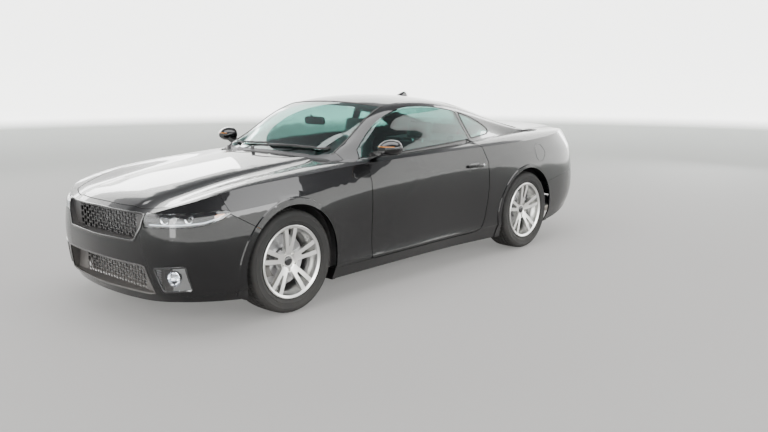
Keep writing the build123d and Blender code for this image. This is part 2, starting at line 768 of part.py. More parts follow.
def mesh_panel(outline, front, width, low, high):
    """Flat honeycomb panel, its front face at x = front, at the bottom of a deep surround."""
    with BuildPart() as panel:
        with BuildSketch(Plane.YZ.offset(front - 4)):
            add(grown(outline, 8.0))
            add(grown(outline, 0.0), mode=Mode.SUBTRACT)
        extrude(amount=200)
        add(behind_skin.part, mode=Mode.INTERSECT)
        mirror(about=Plane.XZ)
        with BuildSketch(Plane.YZ.offset(front - 8)):
            add(grown(outline, 8.0))
            with Locations((0, (low + high) / 2)):
                columns, rows = int(width / MESH_PITCH), int((high - low) / MESH_PITCH * 1.16) + 1
                with HexLocations(MESH_PITCH / 2, columns, rows):
                    RegularPolygon(
                        (MESH_PITCH - MESH_WALL) / 2, 6, major_radius=False, rotation=30, mode=Mode.SUBTRACT,
                    )
        extrude(amount=8)
    return panel.part


with BuildPart() as upper_grille:
    add(mesh_panel(upper_grille_outline, 2308, 860, 560, 706))
    add(box_block((2290, 2400), (-900, 900), (716.5, 740)), mode=Mode.SUBTRACT)
upper_grille.part.label = "upper_grille"
export_step(upper_grille.part, "parts/upper_grille.step")

with BuildPart() as lower_grille:
    add(mesh_panel(lower_grille_outline, 2272, 900, 240, 386))
lower_grille.part.label = "lower_grille"
export_step(lower_grille.part, "parts/lower_grille.step")

# ------------------------------ wheels
RIM_RADIUS, RIM_HALF, BEAD_RADIUS = 245.0, 108.0, 228.6
SPOKE_COUNT = 5

with BuildPart() as tyre_shape:
    with BuildSketch(Plane.XY):
        with BuildLine():
            Polyline(
                (233.4, -98), (246.5, -100.5), (262, -112), (292, -119), (320, -116), (337, -103), (344, -80),
                (346, 0), (344, 80), (337, 103), (320, 116), (292, 119), (262, 112), (246.5, 100.5),
                (233.4, 98), (233.4, -98),
            )
        make_face()
    revolve(axis=Axis.Y)

with BuildPart() as rim_shape:
    with BuildSketch(Plane.XY):
        with BuildLine():
            Polyline(
                (232.6, -100), (RIM_RADIUS, -102), (RIM_RADIUS, -RIM_HALF), (224.6, -RIM_HALF), (214, -70),
                (206, -30), (206, 40), (220, 70), (224, 102), (RIM_RADIUS - 6, RIM_HALF + 4),
                (RIM_RADIUS, RIM_HALF), (RIM_RADIUS, 102),
                (232.6, 100), (232.6, 66), (214, 50), (213, -30), (232.6, -80), (232.6, -100),
            )
        make_face()
    revolve(axis=Axis.Y)

with BuildPart() as spokes:
    # dished front: the hub sits deeper than the rim
    with BuildSketch(Plane.XY):
        with BuildLine():
            Polyline((0, 30), (0, 62), (42, 62), (52, 70))
            Spline((52, 70), (120, 84), (223.4, 98))
            Line((223.4, 98), (221.5, 72))
            Spline((221.5, 72), (120, 50), (70, 30))
            Line((70, 30), (0, 30))
        make_face()
    revolve(axis=Axis.Y)
    with BuildSketch(Plane.XZ.offset(-200)):
        Circle(72)
        with PolarLocations(0, SPOKE_COUNT, start_angle=90):
            Polygon((30, 22), (90, 31), (228, 55), (228, 24), (105, 7), (105, -7), (228, -24), (228, -55),
                    (90, -31), (30, -22), align=None)
    extrude(amount=400, mode=Mode.INTERSECT)
    # wheel nut recesses and hub bore
    with BuildSketch(Plane.XZ.offset(-200)):
        with PolarLocations(57.15, 5, start_angle=54):
            Circle(13)
    extrude(amount=200 - 44, mode=Mode.SUBTRACT)
    with BuildSketch(Plane.XZ.offset(-40)):
        Circle(35.5)
    extrude(amount=40, mode=Mode.SUBTRACT)

with BuildPart() as rim_front_left:
    with Locations((FRONT_AXLE, HALF_TRACK_FRONT, TYRE_RADIUS)):
        add(rim_shape.part + spokes.part)
rim_front_left.part.label = "rim_front_left"
export_step(rim_front_left.part, "parts/rim_front_left.step")

with BuildPart() as rim_front_right:
    mirror(rim_front_left.part, about=Plane.XZ)
rim_front_right.part.label = "rim_front_right"
export_step(rim_front_right.part, "parts/rim_front_right.step")

with BuildPart() as rim_rear_left:
    with Locations((REAR_AXLE, HALF_TRACK_REAR, TYRE_RADIUS)):
        add(rim_shape.part + spokes.part)
rim_rear_left.part.label = "rim_rear_left"
export_step(rim_rear_left.part, "parts/rim_rear_left.step")

with BuildPart() as rim_rear_right:
    mirror(rim_rear_left.part, about=Plane.XZ)
rim_rear_right.part.label = "rim_rear_right"
export_step(rim_rear_right.part, "parts/rim_rear_right.step")

with BuildPart() as tyre_front_left:
    with Locations((FRONT_AXLE, HALF_TRACK_FRONT, TYRE_RADIUS)):
        add(tyre_shape.part)
tyre_front_left.part.label = "tyre_front_left"
export_step(tyre_front_left.part, "parts/tyre_front_left.step")

with BuildPart() as tyre_front_right:
    mirror(tyre_front_left.part, about=Plane.XZ)
tyre_front_right.part.label = "tyre_front_right"
export_step(tyre_front_right.part, "parts/tyre_front_right.step")

with BuildPart() as tyre_rear_left:
    with Locations((REAR_AXLE, HALF_TRACK_REAR, TYRE_RADIUS)):
        add(tyre_shape.part)
tyre_rear_left.part.label = "tyre_rear_left"
export_step(tyre_rear_left.part, "parts/tyre_rear_left.step")

with BuildPart() as tyre_rear_right:
    mirror(tyre_rear_left.part, about=Plane.XZ)
tyre_rear_right.part.label = "tyre_rear_right"
export_step(tyre_rear_right.part, "parts/tyre_rear_right.step")

# ------------------------------ front knuckles with their calipers
# The kingpin stands over the axle, and the caliper saddles the front edge of the disc.
KINGPIN_Y = 741.0

with BuildPart() as knuckle_left:
    with BuildSketch(Plane.XZ.offset(-758)):
        with Locations((FRONT_AXLE, TYRE_RADIUS)):
            Circle(62)
    extrude(amount=40)
    with BuildSketch(Plane.XZ.offset(-828)):
        with Locations((FRONT_AXLE, TYRE_RADIUS)):
            Circle(34.5)
    extrude(amount=90)
    with BuildSketch(Plane.XY.offset(TYRE_RADIUS - 118)):
        with Locations((FRONT_AXLE, KINGPIN_Y)):
            Circle(20)
    extrude(amount=300)
    # steering arm, reaching back
    with BuildSketch(Plane.XY.offset(TYRE_RADIUS - 96)):
        Polygon(
            (FRONT_AXLE - 20, KINGPIN_Y + 12), (FRONT_AXLE - 150, KINGPIN_Y - 36),
            (FRONT_AXLE - 150, KINGPIN_Y - 62), (FRONT_AXLE + 10, KINGPIN_Y - 16), align=None,
        )
    extrude(amount=18)
    # caliper over the front edge of the disc, and its bracket
    with BuildSketch(Plane.XZ.offset(-812)):
        with Locations((FRONT_AXLE, TYRE_RADIUS)):
            Circle(192)
            Circle(128, mode=Mode.SUBTRACT)
            with Locations((-200, 0)):
                Rectangle(400, 500, mode=Mode.SUBTRACT)
            with Locations((100, 180), (100, -190)):
                Rectangle(260, 200, mode=Mode.SUBTRACT)
    extrude(amount=72)
    with BuildSketch(Plane.XZ.offset(-794)):
        with Locations((FRONT_AXLE, TYRE_RADIUS)):
            Circle(176)
            Circle(100, mode=Mode.SUBTRACT)
    extrude(amount=34, mode=Mode.SUBTRACT)
    with BuildSketch(Plane.XZ.offset(-752)):
        with Locations((FRONT_AXLE + 95, TYRE_RADIUS)):
            Rectangle(130, 60)
    extrude(amount=14)
knuckle_left.part.label = "knuckle_left"
export_step(knuckle_left.part, "parts/knuckle_left.step")

with BuildPart() as knuckle_right:
    mirror(knuckle_left.part, about=Plane.XZ)
knuckle_right.part.label = "knuckle_right"
export_step(knuckle_right.part, "parts/knuckle_right.step")

# ------------------------------ rear axle: beam, differential and propeller shaft
with BuildPart() as rear_axle:
    with BuildSketch(Plane.XZ.offset(-859)):
        with Locations((REAR_AXLE, TYRE_RADIUS)):
            Circle(34.5)
    extrude(amount=2 * 859)
    with BuildSketch(Plane.XZ.offset(-770)):
        with Locations((REAR_AXLE, TYRE_RADIUS)):
            Circle(43)
    extrude(amount=2 * 770)
    with BuildSketch(Plane.XZ):
        with BuildLine():
            rear_end, front_end = (REAR_AXLE - 128, TYRE_RADIUS), (REAR_AXLE + 128, TYRE_RADIUS)
            ThreePointArc(rear_end, (REAR_AXLE, TYRE_RADIUS + 128), front_end)
            Polyline(front_end, (REAR_AXLE + 90, TYRE_RADIUS), rear_end)
        make_face()
    revolve(axis=Axis((REAR_AXLE, 0, TYRE_RADIUS), (1, 0, 0)))
    with BuildSketch(Plane.YZ.offset(REAR_AXLE + 100)):
        with Locations((0, TYRE_RADIUS)):
            Circle(60)
    extrude(amount=90)
    with BuildSketch(Plane.YZ.offset(REAR_AXLE + 180)):
        with Locations((0, TYRE_RADIUS)):
            Circle(38)
    extrude(amount=1980)
    for side in (-1, 1):
        with BuildSketch(Plane.XY.offset(TYRE_RADIUS)):
            with Locations((REAR_AXLE, side * 470)):
                Circle(46)
        extrude(amount=519.6 - TYRE_RADIUS)
        with BuildSketch(Plane(origin=(REAR_AXLE, side * 500, 318), z_dir=(1, 0, -0.09))):
            Rectangle(44, 34)
        extrude(amount=440)
rear_axle.part.label = "rear_axle"
export_step(rear_axle.part, "parts/rear_axle.step")

# ------------------------------ floor, tunnel, firewall, seat pan and shelf
FLOOR_LOW, FLOOR_HIGH = 176.0, 184.0

with BuildPart() as floor_pan:
    add(box_block((-1010, 960), (0, 900), (FLOOR_LOW, FLOOR_HIGH)))
    add(box_block((952, 960), (0, 900), (FLOOR_LOW, 905)))
    add(box_block((-1010, 960), (0, 150), (FLOOR_LOW, 400)))
    add(box_block((-1010, -700), (0, 900), (FLOOR_LOW, 330)))
    add(box_block((-1002, -708), (0, 900), (FLOOR_LOW - 10, 322)), mode=Mode.SUBTRACT)
    add(box_block((-2260, -1002), (0, 900), (318, 326)))
    add(box_block((-1420, -1002), (0, 560), (318, 528)))
    add(box_block((-1412, -1010), (0, 552), (FLOOR_LOW, 520)), mode=Mode.SUBTRACT)
    add(box_block((-1010, -1002), (0, 600), (318, 938)))
    add(box_block((-1740, -1002), (0, 600), (930, 938)))
    add(box_block((-2260, -2252), (0, 900), (318, 780)))
    add(box_block((-1100, 980), (-1, 142), (FLOOR_LOW - 10, 392)), mode=Mode.SUBTRACT)
    add(box_block((-1020, -990), (165, 265), (FLOOR_LOW - 10, 262)), mode=Mode.SUBTRACT)
    add(box_block((-1020, -1000), (468, 532), (266, 329)), mode=Mode.SUBTRACT)
    add(box_block((REAR_AXLE - 56, REAR_AXLE + 56), (545, 700), (300, 402)), mode=Mode.SUBTRACT)
    add(cavity.part, mode=Mode.INTERSECT)
    with BuildSketch(Plane.XZ.offset(-1000)):
        with Locations((REAR_AXLE, TYRE_RADIUS)):
            Circle(LINER_RADIUS + 4 + TOUCH)
    extrude(amount=1000 - 632, mode=Mode.SUBTRACT)
    mirror(about=Plane.XZ)
floor_pan.part.label = "floor_pan"
export_step(floor_pan.part, "parts/floor_pan.step")

# ------------------------------ wheel arch liners
with BuildPart() as arch_liners:
    with BuildSketch(Plane.XZ.offset(-940)):
        with Locations((FRONT_AXLE, TYRE_RADIUS)):
            Circle(LINER_RADIUS + 4)
            Circle(LINER_RADIUS, mode=Mode.SUBTRACT)
        with Locations((0, 0)):
            Rectangle(5000, 2 * 240, mode=Mode.SUBTRACT)
    extrude(amount=940 - 496)
    with BuildSketch(Plane.XZ.offset(-500)):
        with Locations((FRONT_AXLE, TYRE_RADIUS)):
            Circle(LINER_RADIUS + 4)
        with Locations((0, 0)):
            Rectangle(5000, 2 * 500, mode=Mode.SUBTRACT)
    extrude(amount=4)
    with BuildSketch(Plane.XZ.offset(-940)):
        with Locations((REAR_AXLE, TYRE_RADIUS)):
            Circle(LINER_RADIUS + 4)
            Circle(LINER_RADIUS, mode=Mode.SUBTRACT)
        with Locations((0, 0)):
            Rectangle(5000, 2 * 240, mode=Mode.SUBTRACT)
    extrude(amount=940 - 632.4)
    with BuildSketch(Plane.XZ.offset(-636.4)):
        with Locations((REAR_AXLE, TYRE_RADIUS)):
            Circle(LINER_RADIUS + 4)
        with Locations((0, 0)):
            Rectangle(5000, 2 * 440, mode=Mode.SUBTRACT)
    extrude(amount=4)
    add(cavity.part, mode=Mode.INTERSECT)
    mirror(about=Plane.XZ)
arch_liners.part.label = "arch_liners"
export_step(arch_liners.part, "parts/arch_liners.step")

# ------------------------------ pillars that carry the door hinges
with BuildPart() as hinge_pillars:
    add(box_block((DOOR_FRONT + 14, 840), (770, 1000), (238, 868)))
    add(behind_skin.part, mode=Mode.INTERSECT)
    mirror(about=Plane.XZ)
hinge_pillars.part.label = "hinge_pillars"
export_step(hinge_pillars.part, "parts/hinge_pillars.step")

# ------------------------------ engine and front structure
with BuildPart() as engine_block:
    add(box_block((1060, 1720), (-270, 270), (250, 760)))
engine_block.part.label = "engine_block"
export_step(engine_block.part, "parts/engine_block.step")

with BuildPart() as front_structure:
    add(box_block((960.4, 2200), (400, 470), (340, 450)))
    add(box_block((2140, 2200), (0, 470), (200, 700)))
    add(box_block((1100, 1160), (0, 470), (196, 236)))
    add(box_block((1640, 1700), (0, 470), (196, 236)))
    add(box_block((1100, 1700), (410, 470), (196, 341)))
    add(cavity.part, mode=Mode.INTERSECT)
    # lower arms, coming to a point under the kingpins, and the spring units that stand on them
    with BuildSketch(Plane.XY.offset(206)):
        Polygon(
            (FRONT_AXLE - 130, 460), (FRONT_AXLE - 22, 764), (FRONT_AXLE + 22, 764), (FRONT_AXLE + 130, 460),
            (FRONT_AXLE + 80, 460), (FRONT_AXLE, 690), (FRONT_AXLE - 80, 460), align=None,
        )
    extrude(amount=21.6)
    with BuildSketch(Plane.XY.offset(206)):
        with Locations((FRONT_AXLE, 600)):
            Circle(38)
    extrude(amount=30)
    with BuildSketch(Plane.XY.offset(206)):
        with Locations((FRONT_AXLE, 600)):
            Circle(20)
    extrude(amount=500)
    with BuildSketch(Plane.XY.offset(480)):
        with Locations((FRONT_AXLE, 600)):
            Circle(40)
    extrude(amount=736 - 480)
    mirror(about=Plane.XZ)
front_structure.part.label = "front_structure"
export_step(front_structure.part, "parts/front_structure.step")

# ------------------------------ fuel tank
with BuildPart() as fuel_tank:
    with BuildSketch(Plane.XZ.offset(-330)):
        Polygon(
            (-1470, 317.6), (-1440, 290), (-1450, 212), (-1490, 186), (-1900, 186), (-1960, 240),
            (-1960, 317.6), align=None,
        )
    extrude(amount=660)
    fillet(fuel_tank.edges().filter_by(Axis.X), radius=24)
fuel_tank.part.label = "fuel_tank"
export_step(fuel_tank.part, "parts/fuel_tank.step")

# ------------------------------ exhaust
with BuildPart() as exhaust:
    with BuildLine() as left_run:
        FilletPolyline(
            (1030, 100, 232), (740, 92, 225), (-820, 92, 225), (-1180, 330, 225), (-1700, 500, 238),
            (-1860, 520, 240), radius=150,
        )
    with BuildSketch(Plane(origin=left_run.line @ 0, z_dir=left_run.line % 0)):
        Circle(28)
    sweep(path=left_run.line)
    with BuildSketch(Plane.YZ.offset(-2180)):
        with Locations((520, 245)):
            SlotOverall(260, 124)
    extrude(amount=360)
    with BuildSketch(Plane.YZ.offset(-2330)):
        with Locations((520, 245)):
            Circle(42)
            Circle(38, mode=Mode.SUBTRACT)
    extrude(amount=152)
    mirror(about=Plane.XZ)
exhaust.part.label = "exhaust"
export_step(exhaust.part, "parts/exhaust.step")

# ------------------------------ inside the cabin
with BuildPart() as dashboard:
    with BuildSketch(Plane.XZ.offset(-820)):
        with BuildLine():
            Spline((951.6, 850), (800, 918), (640, 925), (560, 880))
            Spline((560, 880), (545, 800), (600, 640), (700, 560))
            Polyline((700, 560), (951.6, 560), (951.6, 850))
        make_face()
    extrude(amount=820)
    add(box_block((150, 760), (0, 115), (400.4, 620)))
    add(cavity.part, mode=Mode.INTERSECT)
    add(box_block((500, 1000), (760, 900), (500, 1000)), mode=Mode.SUBTRACT)
    add(box_block((500, 800), (676, 900), (500, 1000)), mode=Mode.SUBTRACT)
    mirror(about=Plane.XZ)
dashboard.part.label = "dashboard"
export_step(dashboard.part, "parts/dashboard.step")

SEAT_MIDDLE = 388.0

with BuildPart() as front_seats:
    # cushion, with its front edge rolled down
    with BuildSketch(Plane.XZ.offset(-(SEAT_MIDDLE + 235))):
        with BuildLine():
            Spline((-205, 330), (-230, 400), (-150, 446))
            Spline((-150, 446), (60, 462), (250, 476), (320, 440), (326, 350))
            Line((326, 350), (-205, 330))
        make_face()
    extrude(amount=470)
    # back, narrower towards the shoulders
    with BuildSketch(Plane.XZ.offset(-(SEAT_MIDDLE + 230))):
        with BuildLine():
            Spline((-105, 390), (-140, 560), (-212, 780), (-290, 990))
            Spline((-290, 990), (-340, 1008), (-402, 980))
            Spline((-402, 980), (-330, 780), (-256, 560), (-215, 380))
            Line((-215, 380), (-105, 390))
        make_face()
    extrude(amount=460)
    with BuildSketch(Plane.XZ.offset(-(SEAT_MIDDLE + 112))):
        with BuildLine():
            Spline(
                (-316, 1002), (-322, 1080), (-348, 1140), (-392, 1152), (-432, 1128), (-424, 1060),
                (-404, 992),
            )
            Line((-404, 992), (-316, 1002))
        make_face()
    extrude(amount=224)
    # shoulders cut in towards the headrest
    for side in (-1, 1):
        with BuildSketch(Plane.YZ.offset(-500)):
            Polygon(
                (SEAT_MIDDLE + side * 236, 760), (SEAT_MIDDLE + side * 170, 1010),
                (SEAT_MIDDLE + side * 170, 1100),
                (SEAT_MIDDLE + side * 300, 1100), (SEAT_MIDDLE + side * 300, 760), align=None,
            )
        extrude(amount=500, mode=Mode.SUBTRACT)
    for inner, outer in ((180, 220), (540, 580)):
        add(box_block((-190, 290), (inner, outer), (184.4, 345)))
    mirror(about=Plane.XZ)
front_seats.part.label = "front_seats"
export_step(front_seats.part, "parts/front_seats.step")

with BuildPart() as rear_seat:
    with BuildSketch(Plane.XZ.offset(-540)):
        with BuildLine():
            Spline((-552, 330.4), (-540, 430), (-600, 482), (-720, 486), (-845, 470))
            Spline((-845, 470), (-868, 640), (-912, 862), (-950, 900))
            Polyline((-950, 900), (-1001.6, 900), (-1001.6, 330.4), (-552, 330.4))
        make_face()
    extrude(amount=1080)
    add(box_block((-1100, -500), (-150.5, 150.5), (300, 400.4)), mode=Mode.SUBTRACT)
    with BuildSketch(Plane.XY.offset(452)):
        with Locations((-720, 0)):
            Rectangle(400, 44)
    extrude(amount=60, mode=Mode.SUBTRACT)
    with BuildSketch(Plane.YZ.offset(-930)):
        with Locations((0, 700)):
            Rectangle(44, 500)
    extrude(amount=90, mode=Mode.SUBTRACT)
rear_seat.part.label = "rear_seat"
export_step(rear_seat.part, "parts/rear_seat.step")

with BuildPart() as steering_wheel:
    with BuildSketch(Plane.XZ):
        with Locations((178, 0)):
            Circle(15)
    revolve(axis=Axis.Z)
    with BuildSketch(Plane.XY.offset(-20)):
        Circle(60)
        Rectangle(340, 40)
        with Locations((0, -90)):
            Rectangle(44, 170)
    extrude(amount=24)
    with BuildSketch(Plane.XY.offset(-150)):
        Circle(26)
    extrude(amount=140)
steering_wheel_placed = Plane(origin=(430, 370, 800), x_dir=(0, 1, 0), z_dir=(-0.91, 0, 0.42)).location
with BuildPart() as steering_wheel_in_car:
    add(steering_wheel_placed * steering_wheel.part)
    add(dashboard.part, mode=Mode.SUBTRACT)
steering_wheel_in_car.part.label = "steering_wheel"
export_step(steering_wheel_in_car.part, "parts/steering_wheel.step")

# ------------------------------ door mirrors
with BuildPart() as mirror_left:
    with BuildSketch(Plane.YZ.offset(600)):
        with Locations((962, 1035)):
            Ellipse(88, 58)
    with BuildSketch(Plane.YZ.offset(660)):
        with Locations((962, 1035)):
            Ellipse(84, 54)
    with BuildSketch(Plane.YZ.offset(712)):
        with Locations((950, 1030)):
            Ellipse(38, 26)
    loft()
    with BuildSketch(Plane.XZ.offset(-910)):
        with Locations((650, 1005)):
            Rectangle(60, 34)
    with BuildSketch(Plane.XZ.offset(-790)):
        with Locations((640, 962)):
            Rectangle(80, 50)
    loft()
    add(cabin(-2.0), mode=Mode.SUBTRACT)
    add(plain_body.part, mode=Mode.SUBTRACT)
mirror_left.part.label = "mirror_left"
export_step(mirror_left.part, "parts/mirror_left.step")

with BuildPart() as mirror_right:
    mirror(mirror_left.part, about=Plane.XZ)
mirror_right.part.label = "mirror_right"
export_step(mirror_right.part, "parts/mirror_right.step")
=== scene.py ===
# %% [markdown]
# A black two-door fastback muscle car.
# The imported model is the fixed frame: every panel, wheel, seat and lid keeps its place and its hinge.
# This lesson gives those parts their finishes, and adds what a parts model leaves out:
# tread, discs, seals, lamp units, wipers, handles, stitching and fasteners.

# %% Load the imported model
import json
import math

import bmesh
import bpy
import numpy as np
from mathutils import Matrix, Vector
from mathutils.bvhtree import BVHTree


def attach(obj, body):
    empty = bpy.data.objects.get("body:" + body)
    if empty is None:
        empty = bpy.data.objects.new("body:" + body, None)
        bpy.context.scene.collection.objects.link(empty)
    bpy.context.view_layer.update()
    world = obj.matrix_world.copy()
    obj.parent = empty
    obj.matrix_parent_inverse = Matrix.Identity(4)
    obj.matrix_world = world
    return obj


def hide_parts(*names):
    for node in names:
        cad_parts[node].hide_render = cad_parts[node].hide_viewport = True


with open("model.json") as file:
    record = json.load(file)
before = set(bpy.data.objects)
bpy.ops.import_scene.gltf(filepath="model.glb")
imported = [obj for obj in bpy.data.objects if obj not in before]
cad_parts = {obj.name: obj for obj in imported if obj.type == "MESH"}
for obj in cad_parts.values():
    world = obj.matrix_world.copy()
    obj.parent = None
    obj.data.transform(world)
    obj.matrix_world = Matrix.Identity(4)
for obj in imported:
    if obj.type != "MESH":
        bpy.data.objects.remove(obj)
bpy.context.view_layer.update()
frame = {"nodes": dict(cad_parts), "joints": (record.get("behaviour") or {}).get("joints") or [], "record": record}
nodes = frame["nodes"]

# %% [markdown]
# The joints tell where the wheels turn. Reading them keeps each wheel detail on its own axle.

# %% Wheel centres
SIDES = {"left": 1.0, "right": -1.0}
joint_place = {joint["name"]: Vector(joint["pos_m"]) for joint in frame["joints"]}
WHEELS = {name[5:]: place for name, place in joint_place.items() if name.startswith("spin_")}
print("wheel centres", {name: tuple(round(v, 3) for v in place) for name, place in WHEELS.items()})

# %% [markdown]
# The camera stands at the car's front left corner at about eye height, with a moderate lens,
# so the nose looks wide and the tail falls away.

# %% Camera
camera_data = bpy.data.cameras.new("camera")
camera_data.lens = 36.9
camera_data.sensor_width = 36.0
camera = bpy.data.objects.new("camera", camera_data)
bpy.context.scene.collection.objects.link(camera)
camera.location = (4.787, 4.739, 1.572)
heading, dip = math.radians(-137.25), math.radians(10.4)
forward = Vector((math.cos(heading) * math.cos(dip), math.sin(heading) * math.cos(dip), -math.sin(dip)))
camera.rotation_euler = forward.to_track_quat("-Z", "Y").to_euler()
bpy.context.scene.camera = camera
print("camera looks along", tuple(round(v, 3) for v in forward))

# %% [markdown]
# Several finishes share the same effects, so each effect is one small node group with its own knobs.
# Grain gives a bump and a light-and-dark value at one scale. Road dust gathers low on the car.
# Wear finds convex edges, where a hand or a stone rubs first.

# %% Shared shader groups
def shader_group(name, inputs, outputs):
    """A node group with named sockets; returns it with its links and its two end nodes."""
    group = bpy.data.node_groups.new(name, "ShaderNodeTree")
    for label, kind, value in inputs:
        socket = group.interface.new_socket(label, in_out="INPUT", socket_type=kind)
        if value is not None:
            socket.default_value = value
    for label, kind in outputs:
        group.interface.new_socket(label, in_out="OUTPUT", socket_type=kind)
    return group, group.nodes.new("NodeGroupInput"), group.nodes.new("NodeGroupOutput")


def add_node(tree, kind, **settings):
    """A node with its plain settings; settings whose name is a socket set that socket."""
    node = tree.nodes.new(kind)
    for key, value in settings.items():
        label = key.replace("_", " ").title()
        if hasattr(node, key):
            setattr(node, key, value)
        else:
            node.inputs[label].default_value = value
    return node


FLOAT, VECTOR = "NodeSocketFloat", "NodeSocketVector"

grain_group, g_in, g_out = shader_group(
    "fine grain",
    [
        ("Scale", FLOAT, 400.0), ("Stretch", VECTOR, (1.0, 1.0, 1.0)), ("Depth", FLOAT, 0.2),
        ("Cells", FLOAT, 0.0),
    ],
    [("Value", FLOAT), ("Height", FLOAT)],
)
coords = add_node(grain_group, "ShaderNodeTexCoord")
stretch = add_node(grain_group, "ShaderNodeVectorMath", operation="MULTIPLY")
noise = add_node(grain_group, "ShaderNodeTexNoise", detail=4.0, roughness=0.6)
cells = add_node(grain_group, "ShaderNodeTexVoronoi", feature="DISTANCE_TO_EDGE")
pick = add_node(grain_group, "ShaderNodeMix", data_type="FLOAT")
deep = add_node(grain_group, "ShaderNodeMath", operation="MULTIPLY")
link = grain_group.links.new
link(coords.outputs["Object"], stretch.inputs[0])
link(g_in.outputs["Stretch"], stretch.inputs[1])
for texture in (noise, cells):
    link(stretch.outputs[0], texture.inputs["Vector"])
    link(g_in.outputs["Scale"], texture.inputs["Scale"])
link(g_in.outputs["Cells"], pick.inputs[0])
link(noise.outputs["Fac"], pick.inputs[2])
link(cells.outputs["Distance"], pick.inputs[3])
link(pick.outputs[0], deep.inputs[0])
link(g_in.outputs["Depth"], deep.inputs[1])
link(pick.outputs[0], g_out.inputs["Value"])
link(deep.outputs[0], g_out.inputs["Height"])

dust_group, d_in, d_out = shader_group(
    "road dust",
    [("Top", FLOAT, 0.45), ("Amount", FLOAT, 0.3), ("Scale", FLOAT, 9.0)],
    [("Mask", FLOAT)],
)
coords = add_node(dust_group, "ShaderNodeTexCoord")
split = add_node(dust_group, "ShaderNodeSeparateXYZ")
fall = add_node(dust_group, "ShaderNodeMapRange", from_max=0.1, to_min=1.0, to_max=0.0)
blotch = add_node(dust_group, "ShaderNodeTexNoise", detail=6.0, roughness=0.65)
both = add_node(dust_group, "ShaderNodeMath", operation="MULTIPLY")
amount = add_node(dust_group, "ShaderNodeMath", operation="MULTIPLY", use_clamp=True)
link = dust_group.links.new
link(coords.outputs["Object"], split.inputs[0])
link(coords.outputs["Object"], blotch.inputs["Vector"])
link(split.outputs["Z"], fall.inputs["Value"])
link(d_in.outputs["Top"], fall.inputs["From Max"])
link(d_in.outputs["Scale"], blotch.inputs["Scale"])
link(fall.outputs["Result"], both.inputs[0])
link(blotch.outputs["Fac"], both.inputs[1])
link(both.outputs[0], amount.inputs[0])
link(d_in.outputs["Amount"], amount.inputs[1])
link(amount.outputs[0], d_out.inputs["Mask"])

wear_group, w_in, w_out = shader_group(
    "edge wear", [("Amount", FLOAT, 0.5), ("Scale", FLOAT, 60.0)], [("Mask", FLOAT)]
)
shape = add_node(wear_group, "ShaderNodeNewGeometry")
coords = add_node(wear_group, "ShaderNodeTexCoord")
speck = add_node(wear_group, "ShaderNodeTexNoise", detail=5.0)
edge = add_node(wear_group, "ShaderNodeMapRange", from_min=0.52, from_max=0.62)
both = add_node(wear_group, "ShaderNodeMath", operation="MULTIPLY")
amount = add_node(wear_group, "ShaderNodeMath", operation="MULTIPLY", use_clamp=True)
link = wear_group.links.new
link(shape.outputs["Pointiness"], edge.inputs["Value"])
link(coords.outputs["Object"], speck.inputs["Vector"])
link(w_in.outputs["Scale"], speck.inputs["Scale"])
link(edge.outputs["Result"], both.inputs[0])
link(speck.outputs["Fac"], both.inputs[1])
link(both.outputs[0], amount.inputs[0])
link(w_in.outputs["Amount"], amount.inputs[1])
link(amount.outputs[0], w_out.inputs["Mask"])
print("groups", [group.name for group in (grain_group, dust_group, wear_group)])

# %% [markdown]
# One helper makes every finish: a Principled shader whose colour and roughness vary a little with grain,
# dust and wear. Numbers that are the same all over a surface stay on the shader's own sockets.

# %% Finish helper
DUST_COLOUR = (0.32, 0.29, 0.26, 1.0)


def place_group(tree, group, **values):
    """One node group placed in a material with its own values."""
    node = tree.nodes.new("ShaderNodeGroup")
    node.node_tree = group
    for key, value in values.items():
        node.inputs[key.title()].default_value = value
    return node


def blend_colour(tree, fac, first, second):
    """Colour mix of two colours or sockets by a mask socket."""
    node = add_node(tree, "ShaderNodeMix", data_type="RGBA")
    tree.links.new(fac, node.inputs[0])
    for socket, value in ((node.inputs[6], first), (node.inputs[7], second)):
        if isinstance(value, bpy.types.NodeSocket):
            tree.links.new(value, socket)
        else:
            socket.default_value = value
    return node.outputs[2]


